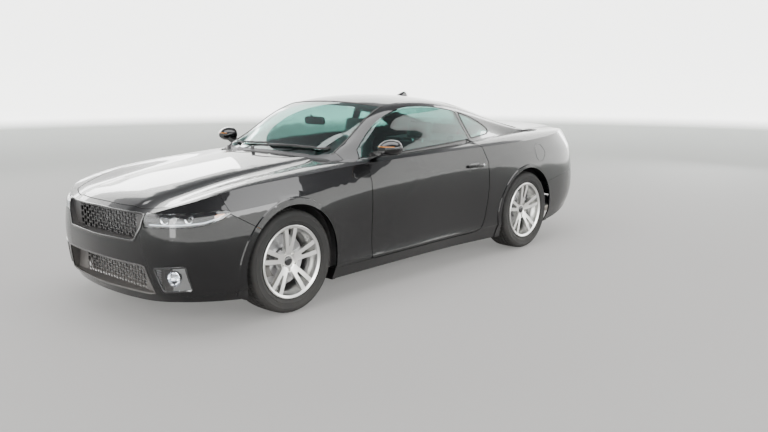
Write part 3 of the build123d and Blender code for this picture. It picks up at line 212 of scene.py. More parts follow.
def finish(
    name, colour, rough, *, metal=0.0, tone=0.15, scale=400.0, stretch=(1, 1, 1), depth=0.0, reach=0.0005,
    cells=0.0, rough_swing=0.08, dust=0.0, dust_top=0.45, wear=0.0, wear_colour=None, **plain
):
    """A procedural finish. tone is how far the grain darkens the colour, depth how strong its bump is."""
    material = bpy.data.materials.new(name)
    material.use_nodes = True
    tree = material.node_tree
    shader = tree.nodes["Principled BSDF"]
    for key, value in plain.items():
        shader.inputs[key.replace("_", " ").title().replace("Ior", "IOR")].default_value = value
    shader.inputs["Metallic"].default_value = metal
    grain = place_group(tree, grain_group, scale=scale, stretch=stretch, depth=1.0, cells=cells)
    dark = tuple(c * (1.0 - tone) for c in colour[:3]) + (1.0,)
    light = tuple(min(c * (1.0 + tone), 1.0) for c in colour[:3]) + (1.0,)
    shade = blend_colour(tree, grain.outputs["Value"], dark, light)
    spread = add_node(
        tree, "ShaderNodeMapRange", to_min=max(rough - rough_swing, 0.02), to_max=rough + rough_swing
    )
    tree.links.new(grain.outputs["Value"], spread.inputs["Value"])
    rough_socket = spread.outputs["Result"]
    if wear:
        worn = place_group(tree, wear_group, amount=wear)
        shade = blend_colour(tree, worn.outputs["Mask"], shade, wear_colour or light)
    if dust:
        dirt = place_group(tree, dust_group, top=dust_top, amount=dust)
        shade = blend_colour(tree, dirt.outputs["Mask"], shade, DUST_COLOUR)
        lift = add_node(tree, "ShaderNodeMath", operation="ADD", use_clamp=True)
        tree.links.new(rough_socket, lift.inputs[0])
        tree.links.new(dirt.outputs["Mask"], lift.inputs[1])
        rough_socket = lift.outputs[0]
    tree.links.new(shade, shader.inputs["Base Color"])
    tree.links.new(rough_socket, shader.inputs["Roughness"])
    if depth:
        bump = add_node(tree, "ShaderNodeBump", strength=depth, distance=reach)
        tree.links.new(grain.outputs["Height"], bump.inputs["Height"])
        tree.links.new(bump.outputs["Normal"], shader.inputs["Normal"])
    return material

# %% [markdown]
# Body paint is a black base under a thick clear coat. The coat is what mirrors the room, so its own
# roughness is very low; the base below stays a little rougher, and dust dulls the sills.

# %% Paint and glass
paint = finish(
    "gloss black paint", (0.0022, 0.0022, 0.0026), 0.34, tone=0.25, scale=900, depth=0.05, reach=0.0002,
    dust=0.02, dust_top=0.32, coat_weight=1.0, coat_roughness=0.025, coat_ior=1.42, specular_ior_level=0.08,
)
glass = finish(
    "green tinted glass", (0.30, 0.52, 0.48), 0.03, tone=0.02, scale=3, rough_swing=0.01, dust=0.04,
    dust_top=1.3, transmission_weight=1.0, ior=1.45,
)
clear_lens = finish(
    "clear lens", (0.93, 0.95, 0.97), 0.03, tone=0.01, scale=5, rough_swing=0.01, transmission_weight=1.0,
    ior=1.45,
)
red_lens = finish(
    "red lens", (0.50, 0.010, 0.012), 0.08, tone=0.1, scale=260, stretch=(0.2, 1, 1), rough_swing=0.02,
    depth=0.1, coat_weight=1.0, coat_roughness=0.04, transmission_weight=0.35,
)
amber_lens = finish(
    "amber lens", (0.85, 0.28, 0.02), 0.12, tone=0.12, scale=300, depth=0.15, coat_weight=1.0,
    coat_roughness=0.05, transmission_weight=0.3,
)

# %% [markdown]
# Moulded plastics are rougher and carry a fine cell grain; cabin trim is softer than the outside trim.

# %% Plastics, rubber and leather
grille_black = finish(
    "satin black grille", (0.020, 0.020, 0.022), 0.38, scale=700, depth=0.15, dust=0.5, dust_top=0.8,
    wear=0.2, wear_colour=(0.12, 0.12, 0.12, 1),
)
trim_black = finish(
    "grained black trim", (0.028, 0.028, 0.030), 0.55, scale=1500, cells=1.0, depth=0.3, dust=0.35,
    dust_top=0.7,
)
gloss_trim = finish(
    "piano black trim", (0.008, 0.008, 0.009), 0.12, scale=60, rough_swing=0.03, coat_weight=0.6
)
rubber = finish("soft rubber", (0.020, 0.020, 0.020), 0.72, scale=900, depth=0.2, dust=0.3, dust_top=1.2)
tyre_rubber = finish(
    "tyre rubber", (0.012, 0.012, 0.012), 0.74, tone=0.3, scale=220, depth=0.35, reach=0.0008, dust=0.07,
    dust_top=0.75, wear=0.3, wear_colour=(0.035, 0.034, 0.033, 1), specular_ior_level=0.3,
)
cabin_trim = finish(
    "soft cabin trim", (0.035, 0.035, 0.038), 0.62, tone=0.25, scale=1100, cells=1.0, depth=0.35,
    sheen_weight=0.1,
)
leather = finish(
    "black leather", (0.042, 0.040, 0.040), 0.46, tone=0.3, scale=420, cells=1.0, depth=0.45, reach=0.0007,
    wear=0.35, wear_colour=(0.10, 0.095, 0.09, 1), specular_ior_level=0.45,
)
carpet = finish(
    "cut pile carpet", (0.030, 0.030, 0.032), 0.95, tone=0.5, scale=1300, depth=0.9, reach=0.002,
    sheen_weight=0.4,
)
webbing = finish(
    "belt webbing", (0.030, 0.030, 0.032), 0.8, tone=0.4, scale=700, stretch=(1, 1, 0.15), depth=0.6,
    sheen_weight=0.3,
)
thread = finish("grey stitching", (0.34, 0.34, 0.36), 0.7, scale=2500, depth=0.5)
screen = finish(
    "dark display glass", (0.004, 0.005, 0.007), 0.08, scale=20, rough_swing=0.02, coat_weight=1.0
)

# %% [markdown]
# Metals differ by how they were made: machined alloy is bright with a fine grain, cast iron is
# dark and pitted, pressed steel is dusty and worn at its edges, and stainless pipe is faintly straw.

# %% Metals
wheel_silver = finish(
    "machined alloy", (0.80, 0.80, 0.78), 0.30, metal=1.0, tone=0.05, scale=500, rough_swing=0.06, dust=0.06,
    dust_top=0.6, wear=0.25, wear_colour=(0.90, 0.90, 0.88, 1), coat_weight=0.5, coat_roughness=0.06,
)
chrome = finish("bright chrome", (0.80, 0.81, 0.83), 0.07, metal=1.0, tone=0.03, scale=300, rough_swing=0.03)
cast_steel = finish(
    "cast and pressed steel", (0.085, 0.085, 0.088), 0.55, metal=0.7, tone=0.35, scale=180, depth=0.5,
    reach=0.001, dust=0.8, dust_top=0.6, wear=0.6, wear_colour=(0.25, 0.24, 0.23, 1),
)
disc_iron = finish(
    "turned disc iron", (0.36, 0.36, 0.37), 0.34, metal=1.0, tone=0.2, scale=900, stretch=(1, 0.05, 1),
    depth=0.25, dust=0.3, dust_top=0.6,
)
exhaust_steel = finish(
    "stainless pipe", (0.42, 0.39, 0.35), 0.34, metal=1.0, tone=0.25, scale=120, stretch=(0.2, 1, 1),
    depth=0.15, dust=0.5, dust_top=0.5, wear=0.3, wear_colour=(0.6, 0.58, 0.55, 1),
)
engine_paint = finish(
    "engine alloy", (0.26, 0.26, 0.27), 0.45, metal=0.85, tone=0.25, scale=260, depth=0.5, reach=0.001,
    wear=0.4, dust=0.2, dust_top=1.0,
)
reflector = finish(
    "lamp reflector", (0.86, 0.87, 0.90), 0.10, metal=1.0, tone=0.05, scale=90, rough_swing=0.04
)
mirror_glass = finish(
    "mirror glass", (0.82, 0.85, 0.88), 0.02, metal=1.0, tone=0.01, scale=5, rough_swing=0.005
)
cast_alloy = finish("cast alloy", (0.42, 0.42, 0.43), 0.42, metal=1.0, tone=0.2, scale=300, depth=0.3)
bottle_white = finish("cloudy bottle", (0.62, 0.62, 0.58), 0.35, scale=60, tone=0.05)
spring_paint = finish(
    "spring paint", (0.03, 0.03, 0.035), 0.35, scale=200, coat_weight=0.3, dust=0.4, dust_top=0.8
)
speaker_cloth = finish("speaker cloth", (0.012, 0.012, 0.013), 0.9, scale=1500, depth=0.8)
headlining = finish("grey headlining", (0.16, 0.16, 0.165), 0.95, scale=1200, depth=0.4)
mark_white = finish("dial marks", (0.72, 0.72, 0.72), 0.5, scale=100)
copper = finish("heater copper", (0.34, 0.15, 0.08), 0.42, metal=1.0, scale=200)
lamp_white = finish(
    "running lamp guide", (0.85, 0.87, 0.90), 0.25, tone=0.02, scale=300, emission_color=(0.8, 0.9, 1.0, 1.0),
    emission_strength=0.6,
)
print("finishes", len(bpy.data.materials))

# %% [markdown]
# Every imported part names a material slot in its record, so one table dresses all of them.

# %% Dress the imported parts
SLOT_FINISH = {
    "paint": paint, "glass": glass, "lens": clear_lens, "red_lens": red_lens, "grille_black": grille_black,
    "trim_black": trim_black, "wheel_silver": wheel_silver, "tyre": tyre_rubber, "steel": cast_steel,
    "exhaust_steel": exhaust_steel, "cabin_trim": cabin_trim, "seat_leather": leather,
}
node_slot = {part["node"]: part["material_slot"] for part in frame["record"]["subparts"]}
for name, part in nodes.items():
    part.data.materials.clear()
    part.data.materials.append(SLOT_FINISH[node_slot[name]])
nodes["floor_pan"].data.materials[0] = carpet
nodes["engine_block"].data.materials[0] = engine_paint
print("dressed", len(nodes))

# %% [markdown]
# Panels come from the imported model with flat-shaded seams between their faces. A small geometry-node
# step joins the seams and smooths every edge below an angle, and a narrow bevel rounds what stays sharp,
# so the edge of each panel catches a thin line of light as folded sheet metal does.

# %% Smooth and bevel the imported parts
def smoothing_tree(name, angle):
    """Geometry nodes that merge doubled corners and shade smooth below an edge angle."""
    tree = bpy.data.node_groups.new(name, "GeometryNodeTree")
    tree.interface.new_socket("Geometry", in_out="INPUT", socket_type="NodeSocketGeometry")
    tree.interface.new_socket("Geometry", in_out="OUTPUT", socket_type="NodeSocketGeometry")
    start, end = tree.nodes.new("NodeGroupInput"), tree.nodes.new("NodeGroupOutput")
    forget = tree.nodes.new("GeometryNodeRemoveAttribute")
    forget.inputs["Name"].default_value = "custom_normal"
    merge = tree.nodes.new("GeometryNodeMergeByDistance")
    merge.inputs["Distance"].default_value = 0.00002
    all_smooth = tree.nodes.new("GeometryNodeSetShadeSmooth")
    some_sharp = tree.nodes.new("GeometryNodeSetShadeSmooth")
    some_sharp.domain = "EDGE"
    some_sharp.inputs["Shade Smooth"].default_value = False
    fold = tree.nodes.new("GeometryNodeInputMeshEdgeAngle")
    over = tree.nodes.new("FunctionNodeCompare")
    over.inputs[1].default_value = math.radians(angle)
    join = tree.links.new
    join(start.outputs[0], forget.inputs["Geometry"])
    join(forget.outputs["Geometry"], merge.inputs["Geometry"])
    join(merge.outputs["Geometry"], all_smooth.inputs["Geometry"])
    join(all_smooth.outputs["Geometry"], some_sharp.inputs["Geometry"])
    join(fold.outputs["Unsigned Angle"], over.inputs[0])
    join(over.outputs[0], some_sharp.inputs["Selection"])
    join(some_sharp.outputs["Geometry"], end.inputs[0])
    return tree


smooth_panels = smoothing_tree("smooth panels", 28.0)
BEVEL = {
    "grille": 0.0004, "window": 0.0012, "glass": 0.0012, "windshield": 0.0012, "lamps": 0.0008,
    "rim": 0.0012,
}


def bevel_width(name):
    """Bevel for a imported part, from its kind."""
    return next((width for kind, width in BEVEL.items() if kind in name), 0.0014)


for name, part in nodes.items():
    join_step = part.modifiers.new("smooth", "NODES")
    join_step.node_group = smooth_panels
    bevel = part.modifiers.new("edge", "BEVEL")
    bevel.width = bevel_width(name)
    bevel.segments = 2
    bevel.limit_method = "ANGLE"
    bevel.angle_limit = math.radians(40)
    bevel.harden_normals = True
    bevel.use_clamp_overlap = True
print("smoothed", len(nodes))

# %% [markdown]
# The studio is one swept sheet: a grey floor, painted darker near the car and lighter with distance as painted
# shade and light, that curves up into a white wall.
# It is round, so it looks the same from every side. Above hang a large soft panel and four long strips,
# which the black paint shows as its highlights.

# %% Studio
def new_object(name, mesh):
    """An object with its mesh, linked into the scene."""
    thing = bpy.data.objects.new(name, mesh)
    bpy.context.scene.collection.objects.link(thing)
    return thing


STUDIO_RADIUS, STUDIO_CURVE, STUDIO_WALL = 19.0, 1.2, 12.0
studio_bm = bmesh.new()
section = [(0.0, 0.0)] + [(r, 0.0) for r in (4.0, 9.0, STUDIO_RADIUS - STUDIO_CURVE)]
section += [
    (STUDIO_RADIUS - STUDIO_CURVE + STUDIO_CURVE * math.sin(a), STUDIO_CURVE * (1 - math.cos(a)))
    for a in (math.radians(d) for d in range(10, 91, 10))
]
section.append((STUDIO_RADIUS, STUDIO_WALL))
bm_points = [studio_bm.verts.new((r, 0.0, z)) for r, z in section]
for first, second in zip(bm_points, bm_points[1:]):
    studio_bm.edges.new((first, second))
bmesh.ops.spin(
    studio_bm, geom=studio_bm.verts[:] + studio_bm.edges[:], axis=(0, 0, 1), cent=(0, 0, 0), angle=math.tau,
    steps=96, use_merge=True,
)
bmesh.ops.remove_doubles(studio_bm, verts=studio_bm.verts, dist=0.0005)
bmesh.ops.recalc_face_normals(studio_bm, faces=studio_bm.faces)
studio_mesh = bpy.data.meshes.new("studio")
studio_bm.to_mesh(studio_mesh)
studio_bm.free()
studio_mesh.shade_smooth()
studio = new_object("studio", studio_mesh)
studio_finish = bpy.data.materials.new("studio paint")
studio_finish.use_nodes = True
tree = studio_finish.node_tree
shader = tree.nodes["Principled BSDF"]
shader.inputs["Roughness"].default_value = 0.85
place = add_node(tree, "ShaderNodeTexCoord")
parts_of = add_node(tree, "ShaderNodeSeparateXYZ")
rise = add_node(tree, "ShaderNodeMapRange", from_min=-0.02, from_max=0.25)
tree.links.new(place.outputs["Object"], parts_of.inputs[0])
tree.links.new(parts_of.outputs["Z"], rise.inputs["Value"])
away = add_node(tree, "ShaderNodeVectorMath", operation="LENGTH")
# Painted light on the floor: its colour runs from dark near the car to lighter far out, standing in for how the
# light falls across it.
painted_falloff_mask = add_node(tree, "ShaderNodeMapRange", from_min=3.0, from_max=13.0)
tree.links.new(place.outputs["Object"], away.inputs[0])
tree.links.new(away.outputs["Value"], painted_falloff_mask.inputs["Value"])
floor_painted_falloff = blend_colour(tree, painted_falloff_mask.outputs["Result"], (0.125, 0.117, 0.113, 1), (0.26, 0.28, 0.265, 1))
tree.links.new(
    blend_colour(tree, rise.outputs["Result"], floor_painted_falloff, (0.93, 0.93, 0.92, 1)),
    shader.inputs["Base Color"],
)
tree.links.new(
    blend_colour(tree, rise.outputs["Result"], (0, 0, 0, 1), (0.95, 0.95, 0.93, 1)),
    shader.inputs["Emission Color"],
)
shader.inputs["Emission Strength"].default_value = 2.8
studio_mesh.materials.append(studio_finish)

world = bpy.data.worlds.new("studio air")
world.use_nodes = True
world.node_tree.nodes["Background"].inputs["Color"].default_value = (0.95, 0.96, 1.0, 1.0)
world.node_tree.nodes["Background"].inputs["Strength"].default_value = 0.45
bpy.context.scene.world = world


def soft_light(name, place, target, size, power):
    """A rectangular studio light that faces a target."""
    data = bpy.data.lights.new(name, "AREA")
    data.shape = "RECTANGLE"
    data.size, data.size_y = size
    data.energy = power
    lamp = new_object(name, data)
    lamp.location = place
    lamp.rotation_euler = (Vector(target) - Vector(place)).to_track_quat("-Z", "Y").to_euler()
    return lamp


soft_light("overhead panel", (0.3, 0.3, 5.4), (0, 0, 0), (7.0, 3.6), 520)
soft_light("left strip", (0.5, 7.5, 3.2), (0, 0, 0.5), (6.5, 0.9), 260)
soft_light("front strip", (8.0, 1.0, 3.0), (1.0, 0, 0.5), (1.0, 5.0), 190)
soft_light("right strip", (-0.5, -7.5, 3.4), (0, 0, 0.6), (6.5, 1.0), 200)
soft_light("rear strip", (-8.0, 0.0, 3.4), (-1, 0, 0.6), (1.0, 5.0), 170)

# %% [markdown]
# Pieces that are new in this scene are built as meshes, placed on their body, and given a finish.
# The helpers here are the shapes that a car's small parts come down to: turned, drawn along a path, and
# a sheet through rows of points, with or without thickness.

# %% Mesh helpers
SLOT_OF = {finish_of: slot for slot, finish_of in SLOT_FINISH.items()}
for slot, finishes in {
    "lens": (amber_lens, bottle_white, lamp_white), "trim_black": (copper, gloss_trim),
    "steel": (spring_paint,), "wheel_silver": (cast_alloy, chrome, mirror_glass, reflector),
    "cabin_trim": (headlining, mark_white, screen, thread, webbing),
}.items():
    SLOT_OF.update(dict.fromkeys(finishes, slot))


def piece(name, part, material, slot=None, body="body_shell", smooth=38.0, bevel=0.0, levels=0, replace=()):
    """A new mesh from (points, faces) that rides on a body, smooth below an angle, rounded by bevel.

    The slot is worked out as the finish's own unless another is named, but it is not given to the piece.
    """
    mesh = bpy.data.meshes.new(name)
    mesh.from_pydata([tuple(p) for p in part[0]], [], [tuple(f) for f in part[1]])
    mesh.validate()
    tidy = bmesh.new()
    tidy.from_mesh(mesh)
    bmesh.ops.remove_doubles(tidy, verts=tidy.verts, dist=0.00001)
    bmesh.ops.recalc_face_normals(tidy, faces=tidy.faces)
    tidy.to_mesh(mesh)
    tidy.free()
    mesh.materials.append(material)
    thing = new_object(name, mesh)
    if levels:
        subdivide = thing.modifiers.new("round", "SUBSURF")
        subdivide.levels = subdivide.render_levels = levels
    if bevel:
        edge_round = thing.modifiers.new("edge", "BEVEL")
        edge_round.width, edge_round.segments = bevel, 2
        edge_round.limit_method, edge_round.angle_limit = "ANGLE", math.radians(35)
    mesh.set_sharp_from_angle(angle=math.radians(smooth))
    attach(thing, body)
    slot = SLOT_OF.get(material) if slot is None else slot
    if replace:
        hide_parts(*replace)
    return thing


def joined(*parts):
    """Several (points, faces) pairs as one."""
    points, faces = [], []
    for more_points, more_faces in parts:
        base = len(points)
        points += [Vector(p) for p in more_points]
        faces += [tuple(i + base for i in face) for face in more_faces]
    return points, faces


def moved(part, matrix):
    """(points, faces) after a matrix."""
    return [matrix @ Vector(p) for p in part[0]], part[1]


def turned(profile, steps=48, close=True):
    """A profile of (radius, height) rows turned about local Z. close joins the last row to the first."""
    points = []
    for i in range(steps):
        angle = math.tau * i / steps
        points += [Vector((r * math.cos(angle), r * math.sin(angle), h)) for r, h in profile]
    rows, faces = len(profile), []
    for i in range(steps):
        near, far = i * rows, ((i + 1) % steps) * rows
        for j in range(rows if close else rows - 1):
            k = (j + 1) % rows
            faces.append((near + j, far + j, far + k, near + k))
    return points, faces


def drawn(path, section, closed=False, up=(0, 0, 1), scale=None):
    """A (width, height) section drawn along a path of points, with flat ends."""
    path = [Vector(p) for p in path]
    count, ring = len(path), len(section)
    points, faces = [], []
    for i, p in enumerate(path):
        before = path[i - 1] if i or closed else p
        after = path[(i + 1) % count] if i < count - 1 or closed else p
        ahead = (after - before).normalized()
        side = ahead.cross(Vector(up))
        side = side.normalized() if side.length > 1e-6 else Vector((1, 0, 0))
        above = side.cross(ahead)
        size = scale[i] if scale else 1.0
        points += [p + side * (a * size) + above * (b * size) for a, b in section]
    for i in range(count if closed else count - 1):
        near, far = i * ring, ((i + 1) % count) * ring
        faces += [(near + j, near + (j + 1) % ring, far + (j + 1) % ring, far + j) for j in range(ring)]
    if not closed:
        faces += [tuple(range(ring))[::-1], tuple(range((count - 1) * ring, count * ring))]
    return points, faces


def ring_section(radius, sides=10):
    """Round section for a drawn path."""
    return [
        (radius * math.cos(math.tau * i / sides), radius * math.sin(math.tau * i / sides))
        for i in range(sides)
    ]


def bar_section(width, height, corner=0.25):
    """Oblong section with cut corners for a drawn path."""
    w, h = width / 2, height / 2
    c = min(width, height) * corner
    return [
        (-w + c, -h), (w - c, -h), (w, -h + c), (w, h - c), (w - c, h), (-w + c, h), (-w, h - c),
        (-w, -h + c),
    ]


def grid(rows):
    """A sheet through rows of points, all of the same length."""
    width = len(rows[0])
    points = [Vector(p) for row in rows for p in row]
    faces = [
        (i * width + j, i * width + j + 1, (i + 1) * width + j + 1, (i + 1) * width + j)
        for i in range(len(rows) - 1) for j in range(width - 1)
    ]
    return points, faces


def slab(rows, normals, thick):
    """A sheet with thickness: the rows, and the same rows moved along their normals."""
    under = [[Vector(p) - Vector(n) * thick for p, n in zip(r, ns)] for r, ns in zip(rows, normals)]
    top, bottom = grid(rows), grid(under)
    points, faces = joined(top, (bottom[0], [tuple(reversed(f)) for f in bottom[1]]))
    width, height, base = len(rows[0]), len(rows), len(top[0])
    rim = [j for j in range(width)] + [i * width + width - 1 for i in range(1, height)]
    rim += [(height - 1) * width + j for j in range(width - 2, -1, -1)]
    rim += [i * width for i in range(height - 2, 0, -1)]
    faces += [(a, base + a, base + b, b) for a, b in zip(rim, rim[1:] + rim[:1])]
    return points, faces


def smooth_path(points, per=8, closed=False):
    """Catmull-Rom points through a few given ones."""
    pts = [Vector(p) for p in points]
    count = len(pts)
    out = []
    for i in range(count if closed else count - 1):
        if closed:
            a, b, c, d = (pts[(i + k) % count] for k in (-1, 0, 1, 2))
        else:
            a, b, c, d = pts[max(i - 1, 0)], pts[i], pts[i + 1], pts[min(i + 2, count - 1)]
        for step in range(per):
            t = step / per
            parabola = 2 * b + (c - a) * t + (2 * a - 5 * b + 4 * c - d) * t * t
            out.append(0.5 * (parabola + (3 * b - a - 3 * c + d) * t**3))
    if not closed:
        out.append(pts[-1])
    return out


WHEEL_TURN = {side: Matrix.Rotation(math.radians(-90 * sign), 4, "X") for side, sign in SIDES.items()}


def at_wheel(part, wheel, offset=0.0):
    """A turned part moved to a wheel, its local Z pointing out of the car, offset outwards."""
    side = wheel.split("_")[1]
    place = Matrix.Translation(WHEELS[wheel] + Vector((0, SIDES[side] * offset, 0)))
    return moved(part, place @ WHEEL_TURN[side])


print("helpers ready")

# %% [markdown]
# To lay trim on a panel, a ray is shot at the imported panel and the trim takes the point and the
# direction of the surface there. That way nothing floats and nothing sinks in.

# %% Surface finder
surface_trees = {}


def surface(node, start, towards):
    """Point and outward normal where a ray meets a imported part."""
    if node not in surface_trees:
        part = nodes[node].data
        part.calc_loop_triangles()
        surface_trees[node] = BVHTree.FromPolygons(
            [v.co.copy() for v in part.vertices], [tuple(t.vertices) for t in part.loop_triangles]
        )
    towards = Vector(towards).normalized()
    point, normal, _, _ = surface_trees[node].ray_cast(Vector(start), towards)
    if point is None:
        return None, None
    return point, (normal if normal.dot(towards) < 0 else -normal)


def on_skin(node, start, towards, near, lift=0.0):
    """Point and normal where a ray meets a part, else the part's nearest point to a place."""
    point, normal = surface(node, start, towards)
    if point is None:
        point, normal, _, _ = surface_trees[node].find_nearest(Vector(near))
    return point + normal * lift, normal


def hits(node, starts, towards, lift):
    """Points where rays from a row of starts meet a part, each raised off it."""
    found = [surface(node, start, towards) for start in starts]
    return [point + normal * lift for point, normal in found if point is not None]


def facing(place, normal):
    """Placement at a point with local Z along a direction."""
    return Matrix.Translation(place) @ normal.to_track_quat("Z", "Y").to_matrix().to_4x4()


def along_x(place, degrees=90):
    """Placement at a point with local Z turned to lie along the car."""
    return Matrix.Translation(place) @ Matrix.Rotation(math.radians(degrees), 4, "Y")


print("surface finder ready")

# %% [markdown]
# A road tyre is a rubber ring with a flat tread, deep grooves all round, and short cross cuts in the
# shoulder blocks. It is turned from one section; the cross cuts are made by pressing the tread in at
# steps round the wheel, so the blocks are real shapes that show against the light.

# %% Tyres
GROOVES = (-0.062, -0.022, 0.022, 0.062)
GROOVE_HALF, GROOVE_DEEP = 0.0045, 0.0075
TREAD_STEPS, CUT_EVERY = 216, 4
SIDEWALL = [
    (0.2335, 0.0980), (0.2470, 0.1005), (0.2500, 0.1050), (0.2530, 0.1065), (0.2620, 0.1125),
    (0.2720, 0.1152), (0.2735, 0.1164), (0.2755, 0.1164), (0.2770, 0.1158), (0.2920, 0.1186),
    (0.3060, 0.1184), (0.3075, 0.1192), (0.3100, 0.1190), (0.3115, 0.1176), (0.3200, 0.1160),
    (0.3290, 0.1112), (0.3360, 0.1030),
]


def tread_row():
    """Half widths across the tread, with an edge on each side of every groove."""
    row = [-0.094, -0.084]
    for groove in GROOVES:
        row += [groove + GROOVE_HALF * share for share in (-1.0, -0.6, 0.6, 1.0)]
    return row + [0.084, 0.094]


def tread_radius(across):
    """Crowned outer radius of the tread, less the groove depth."""
    crown = 0.3458 - 0.0050 * (abs(across) / 0.094) ** 3
    in_groove = any(abs(across - groove) < GROOVE_HALF * 0.8 for groove in GROOVES)
    return crown - (GROOVE_DEEP if in_groove else 0.0)


def tyre_shape():
    """Points and faces of one tyre about local Z."""
    lower = [(r, -h) for r, h in SIDEWALL]
    upper = [(r, h) for r, h in reversed(SIDEWALL)]
    tread = [(tread_radius(across), across) for across in tread_row()]
    profile = lower + tread + upper
    points, faces = turned(profile, steps=TREAD_STEPS)
    rows = len(profile)
    first_tread = len(lower)
    for i, point in enumerate(points):
        step, row = divmod(i, rows)
        column = row - first_tread
        if not 0 <= column < len(tread):
            continue
        across = point.z
        outer_block = abs(across) > GROOVES[-1] + GROOVE_HALF * 0.9
        phase = 0 if outer_block else 2 if across > 0 else 1
        if (step + phase) % CUT_EVERY == 0 and abs(across) > 0.018:
            sink = 0.0055 if outer_block else 0.0030
            length = math.hypot(point.x, point.y)
            point.x, point.y = point.x * (1 - sink / length), point.y * (1 - sink / length)
    return points, faces


tyre_part = tyre_shape()
for wheel in WHEELS:
    piece(
        f"tyre_tread_{wheel}", at_wheel(tyre_part, wheel), tyre_rubber, body=f"wheel_{wheel}", smooth=30,
        replace=[f"tyre_{wheel}"],
    )
print("tyre faces", len(tyre_part[1]))

# %% [markdown]
# Behind the spokes sits the brake disc: two iron plates joined by short vanes, on a deep hat that fits
# the hub. It turns with the wheel, while the caliper stays still and saddles its edge.

# %% Brake discs
def disc_shape(outer, inner, hat, hat_reach, half):
    """A vented disc about local Z, its middle at height 0, with the hat reaching outwards."""
    plate = half - 0.0055
    front_plate = turned([(inner, half - plate), (outer, half - plate), (outer, half), (inner, half)], 72)
    back_plate = turned([(inner, -half), (outer, -half), (outer, plate - half), (inner, plate - half)], 72)
    vanes = []
    for i in range(36):
        angle = math.tau * i / 36
        turn = Matrix.Rotation(angle, 4, "Z")
        bar = [
            (r, w, z) for r in (inner + 0.004, outer - 0.003) for w in (-0.0025, 0.0025)
            for z in (-0.0058, 0.0058)
        ]
        quads = [(0, 1, 3, 2), (4, 6, 7, 5), (0, 4, 5, 1), (2, 3, 7, 6), (0, 2, 6, 4), (1, 5, 7, 3)]
        vanes.append(moved((bar, quads), turn))
    hat_part = turned(
        [
            (inner + 0.001, half - plate), (hat, half), (hat, hat_reach), (0.036, hat_reach),
            (0.036, hat_reach - 0.006), (hat - 0.006, hat_reach - 0.006), (hat - 0.006, half - plate),
        ],
        48,
    )
    return joined(front_plate, back_plate, *vanes, hat_part)


DISC_PLACE = {"front": (-0.008, 0.172, 0.104, 0.082, 0.010), "rear": (-0.018, 0.160, 0.100, 0.080, 0.013)}
for wheel in WHEELS:
    depth, outer, inner, hat, half = DISC_PLACE[wheel.split("_")[0]]
    disc = disc_shape(outer, inner, hat, 0.030 - depth - 0.0005, half)
    piece(
        f"brake_disc_{wheel}", at_wheel(disc, wheel, depth), disc_iron, "wheel_silver",
        body=f"wheel_{wheel}", bevel=0.0006,
    )
print("discs", len(WHEELS))

# %% [markdown]
# Each wheel is held by five nuts round a centre cap, with a valve at the rim. Small as they are,
# they give the eye the size of the whole car.

# %% Wheel nuts, caps and valves
NUT_CIRCLE, HUB_FACE = 0.05715, 0.044
nut_shape = joined(
    turned(
        [(0.0, 0.022), (0.0075, 0.0215), (0.0098, 0.019), (0.0105, 0.016), (0.0105, 0.0), (0.0, 0.0)], 6,
        close=False,
    ),
    turned([(0.0105, 0.004), (0.0122, 0.003), (0.0122, 0.0), (0.0, 0.0)], 20, close=False),
)
cap_shape = turned(
    [
        (0.0, 0.0050), (0.012, 0.0048), (0.024, 0.0035), (0.030, 0.0008), (0.0322, -0.0015),
        (0.0322, -0.006), (0.0, -0.006),
    ],
    40, close=False,
)
valve_shape = turned(
    [(0.0, 0.026), (0.0032, 0.0255), (0.0036, 0.016), (0.0048, 0.015), (0.0048, 0.0), (0.0, 0.0)], 14,
    close=False,
)
for wheel in WHEELS:
    nuts = []
    for i in range(5):
        angle = math.radians(54 + 72 * i)
        spot = Matrix.Translation((NUT_CIRCLE * math.cos(angle), NUT_CIRCLE * math.sin(angle), HUB_FACE))
        nuts.append(moved(nut_shape, spot))
    piece(f"wheel_nuts_{wheel}", at_wheel(joined(*nuts), wheel), chrome, body=f"wheel_{wheel}")
    piece(f"hub_cap_{wheel}", at_wheel(cap_shape, wheel, 0.0665), gloss_trim, body=f"wheel_{wheel}")
    lean = Matrix.Translation((0.196, 0.0, 0.070)) @ Matrix.Rotation(math.radians(-50), 4, "Y")
    piece(
        f"valve_{wheel}", at_wheel(moved(valve_shape, lean), wheel), rubber, "trim_black",
        body=f"wheel_{wheel}",
    )
print("hub details", len(WHEELS) * 3)

# %% [markdown]
# A headlamp is a clear cover over a deep dark bowl. Inside are two round projectors with a bright ring,
# a light guide along the lower edge, and an amber marker at the outer end.

# %% Headlamp units
LAMP_LOWER = ((1.972, 0.722), (2.120, 0.668), (2.262, 0.650), (2.500, 0.628))
LAMP_UPPER = ((1.968, 0.744), (2.130, 0.738), (2.500, 0.706))
DIAGONAL = math.sqrt(0.5)


def line_height(line, x):
    """Height of a lamp edge at a station."""
    return float(np.interp(x, [p[0] for p in line], [p[1] for p in line]))


def front_corner(node, side, along, height):
    """Point and normal on a front corner piece; along grows from the wheel to the nose."""
    towards = Vector((-DIAGONAL, -side * DIAGONAL, 0))
    start = Vector((DIAGONAL, -side * DIAGONAL, 0)) * along - towards * 3.6
    return surface(node, (start.x, start.y, height), towards)


def lamp_point(side, along, share):
    """Point and normal on the headlamp cover, share 0 at its lower edge and 1 at its upper edge."""
    point, normal = front_corner("headlamps", side, along, 0.700)
    if point is None:
        point, normal = front_corner("headlamps", side, along, 0.725)
    if point is None:
        return None, None
    low, high = line_height(LAMP_LOWER, point.x), line_height(LAMP_UPPER, point.x)
    found, face = front_corner("headlamps", side, along, low + (high - low) * (0.06 + 0.88 * share))
    return (found, face) if found is not None else (point, normal)


